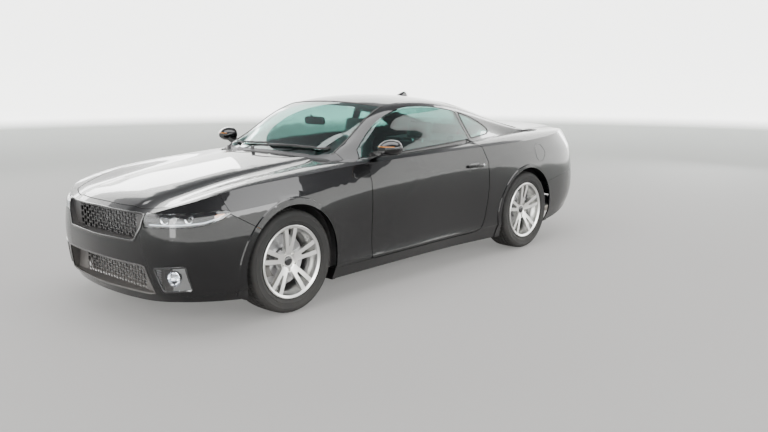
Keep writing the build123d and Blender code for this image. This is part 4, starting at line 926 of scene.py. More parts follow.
lamp_alongs = [a for a in np.linspace(0.70, 1.40, 141) if lamp_point(1.0, a, 0.5)[0] is not None]
LAMP_START, LAMP_END = lamp_alongs[0] + 0.012, lamp_alongs[-1] - 0.008
print("headlamp runs", round(LAMP_START, 3), round(LAMP_END, 3))
for side_name, side in SIDES.items():
    bowl_rows, guide_path, amber_rows, amber_normals = [], [], [], []
    for u in np.linspace(0.0, 1.0, 29):
        along = LAMP_START + (LAMP_END - LAMP_START) * u
        row = []
        for v in np.linspace(0.0, 1.0, 11):
            point, normal = lamp_point(side, along, v)
            sink = 0.0075 + 0.060 * min(
                1.0, 3.2 * math.sin(math.pi * v) ** 0.8 * math.sin(math.pi * u) ** 0.6
            )
            row.append(point - normal * sink)
        bowl_rows.append(row)
        if 0.04 < u < 0.97:
            point, normal = lamp_point(side, along, 0.14)
            guide_path.append(point - normal * 0.016)
        if 0.02 < u < 0.17:
            for column, v in enumerate((0.25, 0.5, 0.8)):
                if not column:
                    amber_rows.append([])
                    amber_normals.append([])
                point, normal = lamp_point(side, along, v)
                amber_rows[-1].append(point - normal * 0.011)
                amber_normals[-1].append(normal)
    piece(f"headlamp_bowl_{side_name}", grid(bowl_rows), gloss_trim)
    piece(f"running_light_{side_name}", drawn(smooth_path(guide_path, 3), ring_section(0.0042)), lamp_white)
    piece(f"amber_marker_{side_name}", slab(amber_rows, amber_normals, 0.006), amber_lens, bevel=0.001)
    for number, u in enumerate((0.50, 0.80)):
        middle, _ = lamp_point(side, LAMP_START + (LAMP_END - LAMP_START) * u, 0.58)
        beam = Vector((0.96, side * 0.28, 0.0)).normalized()
        set_back = facing(middle - beam * 0.052, beam)
        radius = 0.0265 + 0.003 * number
        shell = turned(
            [
                (radius - 0.002, 0.010), (radius + 0.0035, 0.012), (radius + 0.005, 0.006),
                (radius + 0.002, -0.018), (radius - 0.006, -0.030), (radius - 0.008, -0.028),
                (radius - 0.002, -0.016),
            ],
            48,
        )
        ball = [(radius * math.sin(a), 0.002 + 0.016 * (math.cos(a) - 0.3)) for a in np.linspace(0, 1.35, 9)]
        bulge = turned(ball, 40, close=False)
        piece(f"projector_ring_{side_name}_{number}", moved(shell, set_back), chrome)
        piece(f"projector_lens_{side_name}_{number}", moved(bulge, set_back), clear_lens)
        dish = turned([(radius - 0.004, -0.014), (0.012, -0.027), (0.0, -0.028)], 32, close=False)
        piece(f"projector_dish_{side_name}_{number}", moved(dish, set_back), reflector)
print("headlamps built")

# %% [markdown]
# The tail lamps are dark red blocks. Two raised red guides, a clear reversing window at the inner end and
# an amber turn window at the outer end give them depth.

# %% Tail lamp details
def on_back(node, y, z, lift=0.0):
    """Point and normal on the car's back, looked at from behind."""
    return on_skin(node, (-3.0, y, z), (1, 0, 0), (-2.38, y, z), lift)


def patch(pair_rows, thick):
    """A thin curved block under rows of (point, normal) pairs."""
    rows = [[point for point, _ in pairs] for pairs in pair_rows]
    return slab(rows, [[normal for _, normal in pairs] for pairs in pair_rows], thick)


def lamp_window(side, y_range):
    """A small clear or amber window in a tail lamp's face."""
    heights = np.linspace(0.896, 0.920, 4)
    return patch(
        [[on_back("tail_lamps", side * y, z, 0.0016) for z in heights] for y in np.linspace(*y_range, 10)],
        0.004,
    )


for side_name, side in SIDES.items():
    for number, height in enumerate((0.884, 0.930)):
        path = [on_back("tail_lamps", side * y, height, 0.0012)[0] for y in np.linspace(0.500, 0.790, 16)]
        piece(
            f"tail_guide_{side_name}_{number}", drawn(path, bar_section(0.012, 0.005)), red_lens,
            bevel=0.001,
        )
    piece(f"reversing_window_{side_name}", lamp_window(side, (0.472, 0.520)), clear_lens, bevel=0.0008)
    piece(f"turn_window_{side_name}", lamp_window(side, (0.735, 0.800)), amber_lens, bevel=0.0008)
    rim_path = []
    corners = ((0.460, 0.856), (0.470, 0.957), (0.797, 0.954), (0.824, 0.934), (0.822, 0.882), (0.811, 0.855))
    for (y0, z0), (y1, z1) in zip(corners, corners[1:] + corners[:1]):
        for t in np.linspace(0, 1, 8, endpoint=False):
            rim_path.append(on_back("tail_lamps", side * (y0 + (y1 - y0) * t), z0 + (z1 - z0) * t, 0.0006)[0])
    piece(f"tail_lamp_rim_{side_name}", drawn(rim_path, bar_section(0.005, 0.0036), closed=True), gloss_trim)
print("tail lamps built")

# %% [markdown]
# The grilles are framed by a thin dark-chrome moulding that follows the bumper skin.

# %% Grille frames and fog lamps
UPPER_FRAME = (
    (-0.470, 0.718), (0.470, 0.718), (0.452, 0.640), (0.392, 0.548), (-0.392, 0.548), (-0.452, 0.640)
)
LOWER_FRAME = ((-0.470, 0.400), (0.470, 0.400), (0.520, 0.222), (-0.520, 0.222))
FOG_FRAME = ((0.560, 0.388), (0.742, 0.410), (0.752, 0.270), (0.600, 0.250))


def on_nose(y, z, centre):
    """Point on the front bumper's skin, looked for a little outside an opening's edge."""
    out = Vector((y - centre[0], z - centre[1]))
    out.normalize()
    y, z = y + out.x * 0.006, z + out.y * 0.006
    return on_skin("front_bumper", (3.2, y, z), (-1, 0, 0), (2.36, y, z), 0.001)[0]


def frame_path(corners, per_edge, mirror=1.0):
    """Closed path along an opening's edge on the bumper skin."""
    corners = [(y * mirror, z) for y, z in corners]
    centre = (sum(c[0] for c in corners) / len(corners), sum(c[1] for c in corners) / len(corners))
    path = []
    for (y0, z0), (y1, z1) in zip(corners, corners[1:] + corners[:1]):
        steps = max(3, int(per_edge * math.hypot(y1 - y0, z1 - z0)))
        for t in np.linspace(0.04, 0.96, steps):
            path.append(on_nose(y0 + (y1 - y0) * t, z0 + (z1 - z0) * t, centre))
    return path


piece(
    "upper_grille_frame",
    drawn(frame_path(UPPER_FRAME, 26), bar_section(0.014, 0.008), closed=True, up=(1, 0, 0)), gloss_trim,
    bevel=0.001,
)
piece(
    "lower_grille_frame",
    drawn(frame_path(LOWER_FRAME, 26), bar_section(0.012, 0.007), closed=True, up=(1, 0, 0)), trim_black,
    bevel=0.001,
)
for side_name, side in SIDES.items():
    skin, _ = surface("fog_lamps", (3.2, side * 0.655, 0.330), (-1, 0, 0))
    beam = Vector((0.95, side * 0.25, 0.0)).normalized()
    spot = facing(skin - beam * 0.050, beam)
    bowl = turned(
        [
            (0.046, 0.022), (0.050, 0.020), (0.047, 0.000), (0.030, -0.024), (0.010, -0.032), (0.0, -0.032),
            (0.0, -0.030), (0.010, -0.029), (0.028, -0.022), (0.043, 0.000),
        ],
        48, close=False,
    )
    bulb = turned(
        [(0.0, 0.010), (0.006, 0.008), (0.009, 0.000), (0.009, -0.028), (0.0, -0.029)], 24, close=False
    )
    piece(f"fog_bowl_{side_name}", moved(bowl, spot), reflector)
    piece(f"fog_bulb_{side_name}", moved(bulb, spot), lamp_white)
    piece(
        f"fog_frame_{side_name}",
        drawn(frame_path(FOG_FRAME, 40, side), bar_section(0.012, 0.006), closed=True, up=(1, 0, 0)),
        gloss_trim, bevel=0.001,
    )
print("front trim built")

# %% [markdown]
# Car seats are foam blocks in sewn leather. Each block here is drawn along a curved spine from rounded
# sections: the sides rise into bolsters, and sewn channels cross the middle. The foam bulges between
# the channels, so the depth comes from the shape and not from a painted line.

# %% Padded forms
def even_steps(points, count):
    """Points at even distances along a path."""
    pts = [Vector(p) for p in points]
    run = [0.0]
    for a, b in zip(pts, pts[1:]):
        run.append(run[-1] + (b - a).length)
    out = []
    for want in np.linspace(0, run[-1], count):
        i = min(int(np.searchsorted(run, want, side="right")) - 1, len(pts) - 2)
        span = run[i + 1] - run[i] or 1.0
        out.append(pts[i].lerp(pts[i + 1], (want - run[i]) / span))
    return out


def soft_step(value):
    """Smooth rise from 0 to 1."""
    value = min(max(value, 0.0), 1.0)
    return value * value * (3 - 2 * value)


CHANNEL_DEPTH, PIPING_DEPTH = 0.007, 0.010
SEAT_STEPS, SEAT_AROUND = 72, 56


def padded_form(spine, width, thick, bolster, channels, taper=0.0, steps=SEAT_STEPS):
    """Closed padded block along a spine in a plane of constant Y; local up is the sitting side."""
    centres = even_steps(smooth_path(spine, 10), steps)
    points, faces = [], []
    for i, centre in enumerate(centres):
        t = i / (steps - 1)
        ahead = (centres[min(i + 1, steps - 1)] - centres[max(i - 1, 0)]).normalized()
        above = Vector((0, 1, 0)).cross(ahead) * -1.0
        full = (1.0 - abs(2 * t - 1) ** 9) ** 0.4 if 0 < i < steps - 1 else 0.06
        half_width = width / 2 * (0.86 + 0.14 * full) * (1 - taper * t)
        half_thick = thick / 2 * max(full, 0.08)
        middle = 1 - abs(2 * t - 1) ** 6
        for j in range(SEAT_AROUND):
            angle = math.tau * j / SEAT_AROUND
            c, s = math.cos(angle), math.sin(angle)
            across = math.copysign(abs(c) ** 0.55, c)
            over = math.copysign(abs(s) ** 0.55, s)
            lift = 0.0
            if s > 0:
                bolster_foot = soft_step((abs(across) - 0.56) / 0.26)
                bolster_edge = soft_step((abs(across) - 0.90) / 0.10)
                lift += bolster * (bolster_foot - bolster_edge * 0.5) * middle
                panel = 1 - soft_step((abs(across) - 0.50) / 0.10)
                wave = abs(math.sin(math.pi * channels * t))
                lift += CHANNEL_DEPTH * (wave**0.5 - 1.0) * panel * middle if channels else 0.0
                lift -= PIPING_DEPTH * math.exp(-(((abs(across) - 0.58) / 0.035) ** 2)) * middle
            points.append(
                centre + Vector((0, 1, 0)) * across * half_width + above * (over * half_thick + lift)
            )
    for i in range(steps - 1):
        for j in range(SEAT_AROUND):
            k = (j + 1) % SEAT_AROUND
            near, far = i * SEAT_AROUND, (i + 1) * SEAT_AROUND
            faces.append((near + j, near + k, far + k, far + j))
    faces += [tuple(range(SEAT_AROUND))[::-1], tuple(range((steps - 1) * SEAT_AROUND, steps * SEAT_AROUND))]
    return points, faces


STITCH = 0.0075


def stitch_row(path, lift, name):
    """Short thread stitches along a path."""
    spots = even_steps(path, max(4, int(sum((b - a).length for a, b in zip(path, path[1:])) / STITCH)))
    dashes = []
    for here, onward in zip(spots, spots[1:]):
        dashes.append(drawn([here + lift, here.lerp(onward, 0.62) + lift], bar_section(0.0012, 0.0009)))
    piece(name, joined(*dashes), thread, "seat_leather")


def seam_points(form, column):
    """Points of one column of a padded form, short of its rounded ends."""
    return [Vector(form[0][i * SEAT_AROUND + column]) for i in range(6, SEAT_STEPS - 6)]


print("padding helpers ready")

# %% [markdown]
# Each front seat is a cushion, a back and a headrest on posts, over steel rails. Piping and stitches
# run along the seams, and the back has a hard shell behind it.

# %% Front seats
SEAT_Y = 0.380
CUSHION_SPINE = (
    (-0.190, 0, 0.372), (-0.050, 0, 0.392), (0.120, 0, 0.412), (0.270, 0, 0.418), (0.322, 0, 0.380)
)
BACK_SPINE = ((-0.130, 0, 0.400), (-0.195, 0, 0.560), (-0.270, 0, 0.780), (-0.345, 0, 0.985))
HEAD_SPINE = ((-0.352, 0, 1.010), (-0.372, 0, 1.075), (-0.392, 0, 1.150))
POST_LINE = ((-0.335, 0.960), (-0.352, 1.010), (-0.366, 1.060))
SHELL_ROWS, SHELL_COLUMNS = 22, 13
seat_frame = []
for y in (-0.180, 0.180):
    seat_frame.append((((-0.240, y, 0.196), (0.320, y, 0.200)), (0.034, 0.022)))
    seat_frame.append((((-0.150, y, 0.200), (-0.120, y, 0.350)), (0.012, 0.050)))
    seat_frame.append((((0.200, y, 0.200), (0.230, y, 0.375)), (0.012, 0.050)))
for x, z in ((-0.120, 0.335), (0.240, 0.355)):
    seat_frame.append((((x, -0.185, z), (x, 0.185, z)), (0.050, 0.030)))
for side_name, side in SIDES.items():
    shift = Matrix.Translation((0, side * SEAT_Y, 0))
    cushion = moved(padded_form(CUSHION_SPINE, 0.470, 0.120, 0.034, 5), shift)
    back = moved(padded_form(BACK_SPINE, 0.460, 0.110, 0.040, 7, taper=0.10), shift)
    head = moved(padded_form(HEAD_SPINE, 0.230, 0.090, 0.0, 0, steps=32), shift)
    for label, form, fill in (("cushion", cushion, 0.75), ("back", back, 0.75), ("headrest", head, 0.85)):
        made = piece(f"seat_{label}_{side_name}", form, leather, smooth=60, replace=["front_seats"])
    for label, form in (("cushion", cushion), ("back", back)):
        for which, column in (("inner", 9), ("outer", 19)):
            path = seam_points(form, column)
            piece(f"seat_piping_{label}_{which}_{side_name}", drawn(path, ring_section(0.0024, 8)), leather)
            stitch_row(
                [p + Vector((0, 0.006 * (1 if column < 14 else -1), 0)) for p in path],
                Vector((0.001, 0, 0.0016)), f"seat_stitches_{label}_{which}_{side_name}",
            )
    posts = [drawn([(x, y, z) for x, z in POST_LINE], ring_section(0.006, 12)) for y in (-0.055, 0.055)]
    piece(f"headrest_posts_{side_name}", moved(joined(*posts), shift), chrome)
    rails = [drawn(ends, bar_section(*section)) for ends, section in seat_frame]
    piece(f"seat_rails_{side_name}", moved(joined(*rails), shift), cast_steel, bevel=0.001)
    shell_rows = []
    for p in even_steps(smooth_path(BACK_SPINE, 8), SHELL_ROWS):
        across = np.linspace(-1, 1, SHELL_COLUMNS)
        shell_rows.append(
            [p + Vector((-0.056 - 0.012 * math.cos(math.pi * w / 2), w * 0.200, 0.018)) for w in across]
        )
    shell_normals = [[Vector((-1, 0, 0))] * SHELL_COLUMNS] * SHELL_ROWS
    piece(f"seat_back_shell_{side_name}", moved(slab(shell_rows, shell_normals, 0.004), shift), cabin_trim)
print("front seats built")

# %% [markdown]
# The rear bench is two smaller seats with a low padded bridge between them.

# %% Rear bench
REAR_CUSHION = ((-0.830, 0, 0.420), (-0.720, 0, 0.440), (-0.600, 0, 0.428), (-0.560, 0, 0.395))
REAR_BACK = ((-0.880, 0, 0.470), (-0.915, 0, 0.640), (-0.948, 0, 0.860))
for side_name, side in SIDES.items():
    shift = Matrix.Translation((0, side * 0.345, 0))
    for label, spine, width, thick in (
        ("cushion", REAR_CUSHION, 0.380, 0.110), ("back", REAR_BACK, 0.390, 0.080)
    ):
        form = moved(padded_form(spine, width, thick, 0.022, 5 if label == "back" else 3), shift)
        made = piece(f"rear_{label}_{side_name}", form, leather, smooth=60, replace=["rear_seat"])
middle = [(-0.840, 0, 0.452), (-0.700, 0, 0.468), (-0.580, 0, 0.440)]
bridge = piece("rear_bench_middle", padded_form(middle, 0.290, 0.070, 0.0, 0), leather, replace=["rear_seat"])
print("rear bench built")

# %% [markdown]
# Small trim on the doors follows the door's own skin: a bar handle that stands off the panel with a
# dark cup behind it, a key lock, and a gloss black strip along the foot of the frameless window. Each
# rides on its door, so it swings out with it. An amber marker lies on each front fender.

# %% Door handles and window strips
def on_side(node, side, x, z, lift=0.0):
    """Point and outward normal on a side panel's outer skin."""
    return on_skin(node, (x, side * 2.0, z), (0, -side, 0), (x, side * 0.93, z), lift)


def belt_point(node, side, x):
    """Highest point of a side panel's outer skin at a station."""
    best = None
    for z in np.arange(0.86, 1.06, 0.003):
        point, normal = surface(node, (x, side * 2.0, z), (0, -side, 0))
        if point is not None and abs(point.y) > 0.66:
            best = (point, normal)
    return best


def side_patch(node, side, x_range, z_range, lift, thick):
    """A thin block with rounded ends that lies on a side panel."""
    pair_rows = []
    for u in np.linspace(-1, 1, 12):
        x = x_range[0] + (x_range[1] - x_range[0]) * (u + 1) / 2
        share = (1 - abs(u) ** 4) ** 0.5 * 0.5 + 0.5 if abs(u) < 1 else 0.3
        middle, half = (z_range[0] + z_range[1]) / 2, (z_range[1] - z_range[0]) / 2 * share
        pair_rows.append([on_side(node, side, x, middle + half * v, lift) for v in np.linspace(-1, 1, 5)])
    return patch(pair_rows, thick)


HANDLE_X, HANDLE_Z, HANDLE_HALF = -0.455, 0.806, 0.090
HANDLE_STAND = (
    (-1.0, 0.001), (-0.97, 0.014), (-0.86, 0.027), (-0.5, 0.033), (0.0, 0.035), (0.5, 0.033), (0.86, 0.027),
    (0.97, 0.014), (1.0, 0.001),
)
for side_name, side in SIDES.items():
    door = f"door_{side_name}"
    path = [
        on_side(door, side, HANDLE_X + t * HANDLE_HALF, HANDLE_Z + 0.003 * t, rise)[0]
        for t, rise in HANDLE_STAND
    ]
    piece(
        f"door_handle_{side_name}", drawn(smooth_path(path, 6), bar_section(0.011, 0.025, 0.35)), paint,
        body=door, bevel=0.0012,
    )
    cup = side_patch(
        door, side, (HANDLE_X - 0.062, HANDLE_X + 0.062), (HANDLE_Z - 0.024, HANDLE_Z + 0.024), 0.0012,
        0.0018,
    )
    piece(f"handle_cup_{side_name}", cup, gloss_trim, slot=False, body=door, bevel=0.0006)
    centre, outward = on_side(door, side, HANDLE_X - 0.118, HANDLE_Z, 0.0004)
    lock = turned([(0.0, 0.003), (0.0085, 0.003), (0.0105, 0.0015), (0.0105, 0.0)], 28, close=False)
    piece(f"door_lock_{side_name}", moved(lock, facing(centre, outward)), chrome, slot=False, body=door)
    belt = [belt_point(door, side, x) for x in np.linspace(-0.600, 0.560, 60)]
    belt = [p + n * 0.001 + Vector((0, 0, 0.002)) for p, n in (b for b in belt if b is not None)]
    piece(
        f"window_strip_{side_name}", drawn(belt, bar_section(0.007, 0.013)), gloss_trim, body=door,
        bevel=0.001,
    )
    crease = side_patch(f"fender_{side_name}", side, (1.775, 1.835), (0.588, 0.606), 0.0016, 0.003)
    piece(f"side_marker_{side_name}", crease, amber_lens, bevel=0.0008)
print("door trim built")

# %% [markdown]
# Glass in a car is edged with a black seal. The edge of each packed pane is found with a fan of rays
# from its middle, and a flat rubber section is drawn along it. Thin heater lines lie across the inner
# face of the rear window.

# %% Window seals
def outline(node, centre, across, upward, ahead, count=132):
    """Closed run of points along the edge of a sheet, with the sheet's normals there."""
    centre, across, upward, ahead = Vector(centre), Vector(across), Vector(upward), Vector(ahead)
    run = []
    for i in range(count):
        angle = math.tau * (i + 0.5) / count
        way = across * math.cos(angle) + upward * math.sin(angle)
        low, high = 0.0, 1.5
        for _ in range(13):
            middle = (low + high) / 2
            hit, _ = surface(node, centre + way * middle - ahead * 2, ahead)
            low, high = (middle, high) if hit is not None else (low, middle)
        run.append(surface(node, centre + way * max(0.0, low - 0.001) - ahead * 2, ahead))
    return run


def seal(name, run, width):
    """A flat section drawn along the edge of a pane."""
    up = sum((normal for _, normal in run), Vector()).normalized()
    path = [point + normal * 0.0015 for point, normal in run]
    piece(name, drawn(path, bar_section(width, 0.004), closed=True, up=up), rubber, bevel=0.0006)


windshield_run = outline("windshield", (0.62, 0.0, 1.15), (0, 0.62, 0), (0, 0, 0.18), (-1, 0, 0))
seal("windshield_seal", windshield_run, 0.014)
rear_run = outline("rear_window", (-1.18, 0.0, 1.22), (0, 0.56, 0), (0.55, 0, 0), (0, 0, -1))
seal("rear_window_seal", rear_run, 0.014)
HEATER_ROWS = 11
for row in range(HEATER_ROWS):
    x = -1.60 + 0.80 * row / (HEATER_ROWS - 1)
    line = hits("rear_window", [(x, y, 0.9) for y in np.linspace(-0.42, 0.42, 22)], (0, 0, 1), 0.0006)
    if len(line) > 3:
        piece(f"heater_line_{row}", drawn(line, bar_section(0.0016, 0.0008)), copper)
for side_name, side in SIDES.items():
    run = outline(
        "quarter_windows", (-0.80, side * 0.70, 1.115), (0.20, 0, 0), (0, 0, 0.10), (0, -side, 0), count=72
    )
    if all(point is not None for point, _ in run):
        seal(f"quarter_seal_{side_name}", run, 0.010)
print("seals built")

# %% [markdown]
# A door mirror's glass sits in the back of its shell with a thin dark edge. Both follow one ellipse, a
# little smaller than the shell, and an amber strip lies on the shell's front.

# %% Mirror glasses
for side_name, side in SIDES.items():
    door = f"door_{side_name}"
    centre = Vector((0.60, side * 0.962, 1.035))
    rim, pane = [], []
    for share, rows in ((0.93, rim), (0.86, pane)):
        for i in range(64):
            angle = math.tau * i / 64
            rows.append(
                centre + Vector((-0.0012, 0.088 * share * math.cos(angle), 0.058 * share * math.sin(angle)))
            )
    piece(
        f"mirror_edge_{side_name}", drawn(rim, bar_section(0.006, 0.004), closed=True, up=(1, 0, 0)),
        gloss_trim, slot=False, body=door,
    )
    rows = []
    for share in (1.0, 0.75, 0.5, 0.25, 0.02):
        rows.append(
            [centre + (p - centre) * share + Vector((0.0015 * share * share - 0.0025, 0, 0)) for p in pane]
        )
    sheet = grid([row + row[:1] for row in rows])
    piece(f"mirror_glass_{side_name}", sheet, mirror_glass, body=door)
    starts = [(2.0, side * y, 1.048) for y in np.linspace(0.90, 1.035, 14)]
    strip = hits(f"mirror_{side_name}", starts, (-1, 0, 0), 0.001)
    if len(strip) > 3:
        piece(f"mirror_turn_lamp_{side_name}", drawn(strip, bar_section(0.006, 0.004)), amber_lens, body=door)
print("mirror glasses built")

# %% [markdown]
# Two wipers park along the foot of the windshield. Each is a pivot cap on the cowl, a flat arm that
# narrows outwards, a claw in the middle of the blade, and a rubber blade that lies on the glass.

# %% Wipers
def glass_foot(y):
    """Lowest height at which the windshield is met at a station across the car."""
    for z in np.arange(0.955, 1.10, 0.003):
        point, normal = surface("windshield", (3.0, y, z), (-1, 0, 0))
        if point is not None:
            return point, normal
    return None, None


def on_windshield(y, rise, lift):
    """Point on the glass, a little above its foot."""
    foot, _ = glass_foot(y)
    point, normal = surface("windshield", (3.0, y, foot.z + rise), (-1, 0, 0))
    return point + normal * lift, normal


for name, (inner, outer, pivot_y, lean) in {
    "wiper_left": (-0.040, 0.540, -0.115, 0.010), "wiper_right": (-0.560, -0.080, -0.520, 0.008),
}.items():
    blade = [
        on_windshield(y, 0.030 + lean * (y - inner) / 0.5, 0.0075)[0] for y in np.linspace(inner, outer, 26)
    ]
    spine = [
        on_windshield(y, 0.030 + lean * (y - inner) / 0.5, 0.0150)[0]
        for y in np.linspace(inner + 0.01, outer - 0.01, 26)
    ]
    piece(f"{name}_rubber", drawn(blade, bar_section(0.0035, 0.012)), rubber)
    piece(f"{name}_spine", drawn(spine, bar_section(0.012, 0.006, 0.3)), trim_black, bevel=0.0008)
    foot, _ = glass_foot(pivot_y)
    ground, _ = surface("cowl", (foot.x + 0.045, pivot_y, 2.0), (0, 0, -1))
    if ground is None:
        ground = foot + Vector((0.045, 0, 0.0))
    cap = turned([(0.0, 0.026), (0.011, 0.026), (0.014, 0.022), (0.015, 0.0), (0.0, -0.004)], 28, close=False)
    piece(f"{name}_pivot", moved(cap, Matrix.Translation(ground)), trim_black)
    hold = spine[len(spine) // 2]
    knee = ground + Vector((-0.004, 0, 0.024))
    arm = smooth_path(
        [
            knee, knee.lerp(hold, 0.25) + Vector((0.002, 0, 0.012)),
            knee.lerp(hold, 0.7) + Vector((0, 0, 0.010)), hold + Vector((0, 0, 0.004)),
        ],
        8,
    )
    scale = [1.0 - 0.45 * i / (len(arm) - 1) for i in range(len(arm))]
    piece(f"{name}_arm", drawn(arm, bar_section(0.018, 0.007, 0.3), scale=scale), trim_black, bevel=0.0008)
print("wipers built")

# %% [markdown]
# Inside, each door has a card: a padded armrest, a release lever, a speaker ring and a
# stitched upper roll and a pocket. They are laid on the door's inner skin, found with rays from the cabin.

# %% Door cards
def inner_skin(side, x, z, lift=0.0):
    """Point on the inner side of a door, with the direction into the cabin."""
    door = f"door_{'left' if side > 0 else 'right'}"
    return on_skin(door, (x, side * 0.30, z), (0, side, 0), (x, side * 0.74, z), lift)


for side_name, side in SIDES.items():
    door = f"door_{side_name}"
    rest = []
    for x in np.linspace(-0.42, 0.34, 20):
        base, _ = inner_skin(side, x, 0.640 + 0.05 * max(0.0, x))
        rest.append(base + Vector((0, -side * 0.026, 0)))
    swell = [0.35 + 0.65 * math.sin(math.pi * min(1.0, 0.12 + 0.88 * i / 19)) ** 0.35 for i in range(20)]
    piece(
        f"armrest_{side_name}", drawn(rest, bar_section(0.060, 0.056, 0.4), scale=swell), cabin_trim,
        body=door, levels=1,
    )
    roll = [inner_skin(side, x, 0.862, 0.006)[0] for x in np.linspace(-0.55, 0.60, 24)]
    piece(
        f"door_roll_{side_name}", drawn(roll, bar_section(0.022, 0.050, 0.45)), leather, body=door, levels=1
    )
    seam = [inner_skin(side, x, 0.832, 0.0012)[0] for x in np.linspace(-0.54, 0.58, 60)]
    piece(f"door_seam_{side_name}", drawn(seam, ring_section(0.0010, 6)), thread, body=door)
    centre, inward = inner_skin(side, 0.42, 0.420, 0.001)
    speaker_place = facing(centre, inward)
    ring = turned([(0.072, 0.0), (0.082, 0.0), (0.080, 0.006), (0.074, 0.007)], 48)
    mesh_face = turned([(0.072, 0.001), (0.050, 0.004), (0.020, 0.006), (0.0, 0.0065)], 48, close=False)
    piece(f"speaker_ring_{side_name}", moved(ring, speaker_place), gloss_trim, "cabin_trim", body=door)
    piece(
        f"speaker_cover_{side_name}", moved(mesh_face, speaker_place), speaker_cloth, "cabin_trim",
        body=door,
    )
    lever = [
        inner_skin(side, x, 0.760, rise)[0]
        for x, rise in ((0.36, 0.004), (0.375, 0.020), (0.43, 0.024), (0.470, 0.016))
    ]
    piece(
        f"door_release_{side_name}", drawn(smooth_path(lever, 5), bar_section(0.008, 0.020)), chrome,
        body=door,
    )
    pocket = [
        inner_skin(side, x, 0.395 + 0.02 * math.sin(x * 3), 0.022)[0] for x in np.linspace(-0.40, 0.26, 16)
    ]
    piece(
        f"door_pocket_{side_name}", drawn(pocket, bar_section(0.036, 0.085, 0.3)), cabin_trim, body=door,
        bevel=0.004,
    )
print("door cards built")

# %% [markdown]
# The dashboard solid gives the shape; what a driver reads and touches is laid on it: two round
# instruments in raised rings, a centre display, four air vents with slats, a row of buttons, a lever
# between the seats, and the pedals in the driver's footwell.

# %% Dashboard and controls
def facing_seats(y, z):
    """Placement on the dashboard with local Z towards the seats and local X across the car."""
    point, normal = on_skin("dashboard", (-0.2, y, z), (1, 0, 0), (0.56, y, z))
    across = Vector((0, 1, 0))
    up = normal.cross(across).normalized()
    across = up.cross(normal).normalized()
    turn = Matrix((across, up, normal)).transposed().to_4x4()
    return Matrix.Translation(point) @ turn


def plate_shape(width, height, thick, corner):
    """A rounded oblong plate standing on local Z = 0."""
    flat = []
    for cx, cy, start in ((1, 1, 0), (-1, 1, 90), (-1, -1, 180), (1, -1, 270)):
        for a in range(0, 91, 15):
            angle = math.radians(start + a)
            x = cx * (width / 2 - corner) + corner * math.cos(angle)
            y = cy * (height / 2 - corner) + corner * math.sin(angle)
            flat.append((x, y))
    points = [Vector((x, y, 0.0)) for x, y in flat] + [Vector((x, y, thick)) for x, y in flat]
    n = len(flat)
    faces = [(i, (i + 1) % n, n + (i + 1) % n, n + i) for i in range(n)]
    return points, faces + [tuple(range(n))[::-1], tuple(range(n, 2 * n))]


DRIVER_Y = 0.370
for number, y in enumerate((DRIVER_Y + 0.085, DRIVER_Y - 0.085)):
    place = facing_seats(y, 0.838)
    pod = turned(
        [(0.060, 0.0), (0.066, 0.0), (0.068, 0.022), (0.064, 0.026), (0.058, 0.022), (0.056, 0.004)], 56
    )
    face = turned([(0.057, 0.004), (0.030, 0.003), (0.0, 0.003)], 56, close=False)
    piece(f"gauge_pod_{number}", moved(pod, place), gloss_trim, "cabin_trim")
    piece(f"gauge_face_{number}", moved(face, place), screen)
    marks = []
    for i in range(25):
        angle = math.radians(225 - 270 * i / 24)
        long = 0.010 if i % 4 == 0 else 0.005
        way = Vector((math.cos(angle), math.sin(angle), 0))
        mark = [way * reach + Vector((0, 0, 0.0045)) for reach in (0.052 - long, 0.052)]
        marks.append(drawn(mark, bar_section(0.0016, 0.0006)))
    way = Vector((math.cos(2.6), math.sin(2.6), 0))
    needle = drawn(
        [(0, 0, 0.006), way * 0.046 + Vector((0, 0, 0.006))], bar_section(0.003, 0.0012), scale=[1.4, 0.4]
    )
    piece(f"gauge_marks_{number}", moved(joined(*marks), place), mark_white)
    piece(f"gauge_needle_{number}", moved(needle, place), red_lens)
piece(
    "centre_display", moved(plate_shape(0.235, 0.132, 0.010, 0.012), facing_seats(0.0, 0.806)), screen,
    bevel=0.0015,
)
vent_rim = []
for a in np.linspace(0, math.tau, 40, endpoint=False):
    c, s = math.cos(a), math.sin(a)
    vent_rim.append((0.047 * math.copysign(abs(c) ** 0.5, c), 0.028 * math.copysign(abs(s) ** 0.5, s), 0.005))
SLAT_HEIGHTS = (-0.016, -0.005, 0.006, 0.017)
slats = [
    drawn([(-0.042, h, 0.009), (0.042, h, 0.009)], bar_section(0.010, 0.0022), up=(0, 0.5, 1))
    for h in SLAT_HEIGHTS
]
for number, y in enumerate((0.640, 0.185, -0.185, -0.620)):
    place = facing_seats(y, 0.815 if abs(y) > 0.4 else 0.800)
    piece(
        f"vent_back_{number}", moved(plate_shape(0.100, 0.060, 0.004, 0.014), place), gloss_trim,
        "cabin_trim",
    )
    ring = moved(drawn(vent_rim, bar_section(0.005, 0.006), closed=True), place)
    piece(f"vent_ring_{number}", ring, chrome)
    piece(f"vent_slats_{number}", moved(joined(*slats), place), trim_black, "cabin_trim")
place = facing_seats(0.0, 0.700)
button = plate_shape(0.024, 0.015, 0.006, 0.003)
buttons = [moved(button, Matrix.Translation((-0.075 + 0.030 * i, 0, 0))) for i in range(6)]
piece("dash_buttons", moved(joined(*buttons), place), gloss_trim, "cabin_trim", bevel=0.0008)
for number, x in enumerate((-0.070, 0.070)):
    knob = turned([(0.0, 0.024), (0.015, 0.024), (0.017, 0.021), (0.018, 0.0)], 36, close=False)
    piece(f"dash_knob_{number}", moved(knob, facing_seats(x, 0.655)), chrome)
console_top, _ = surface("dashboard", (0.30, 0.0, 1.5), (0, 0, -1))
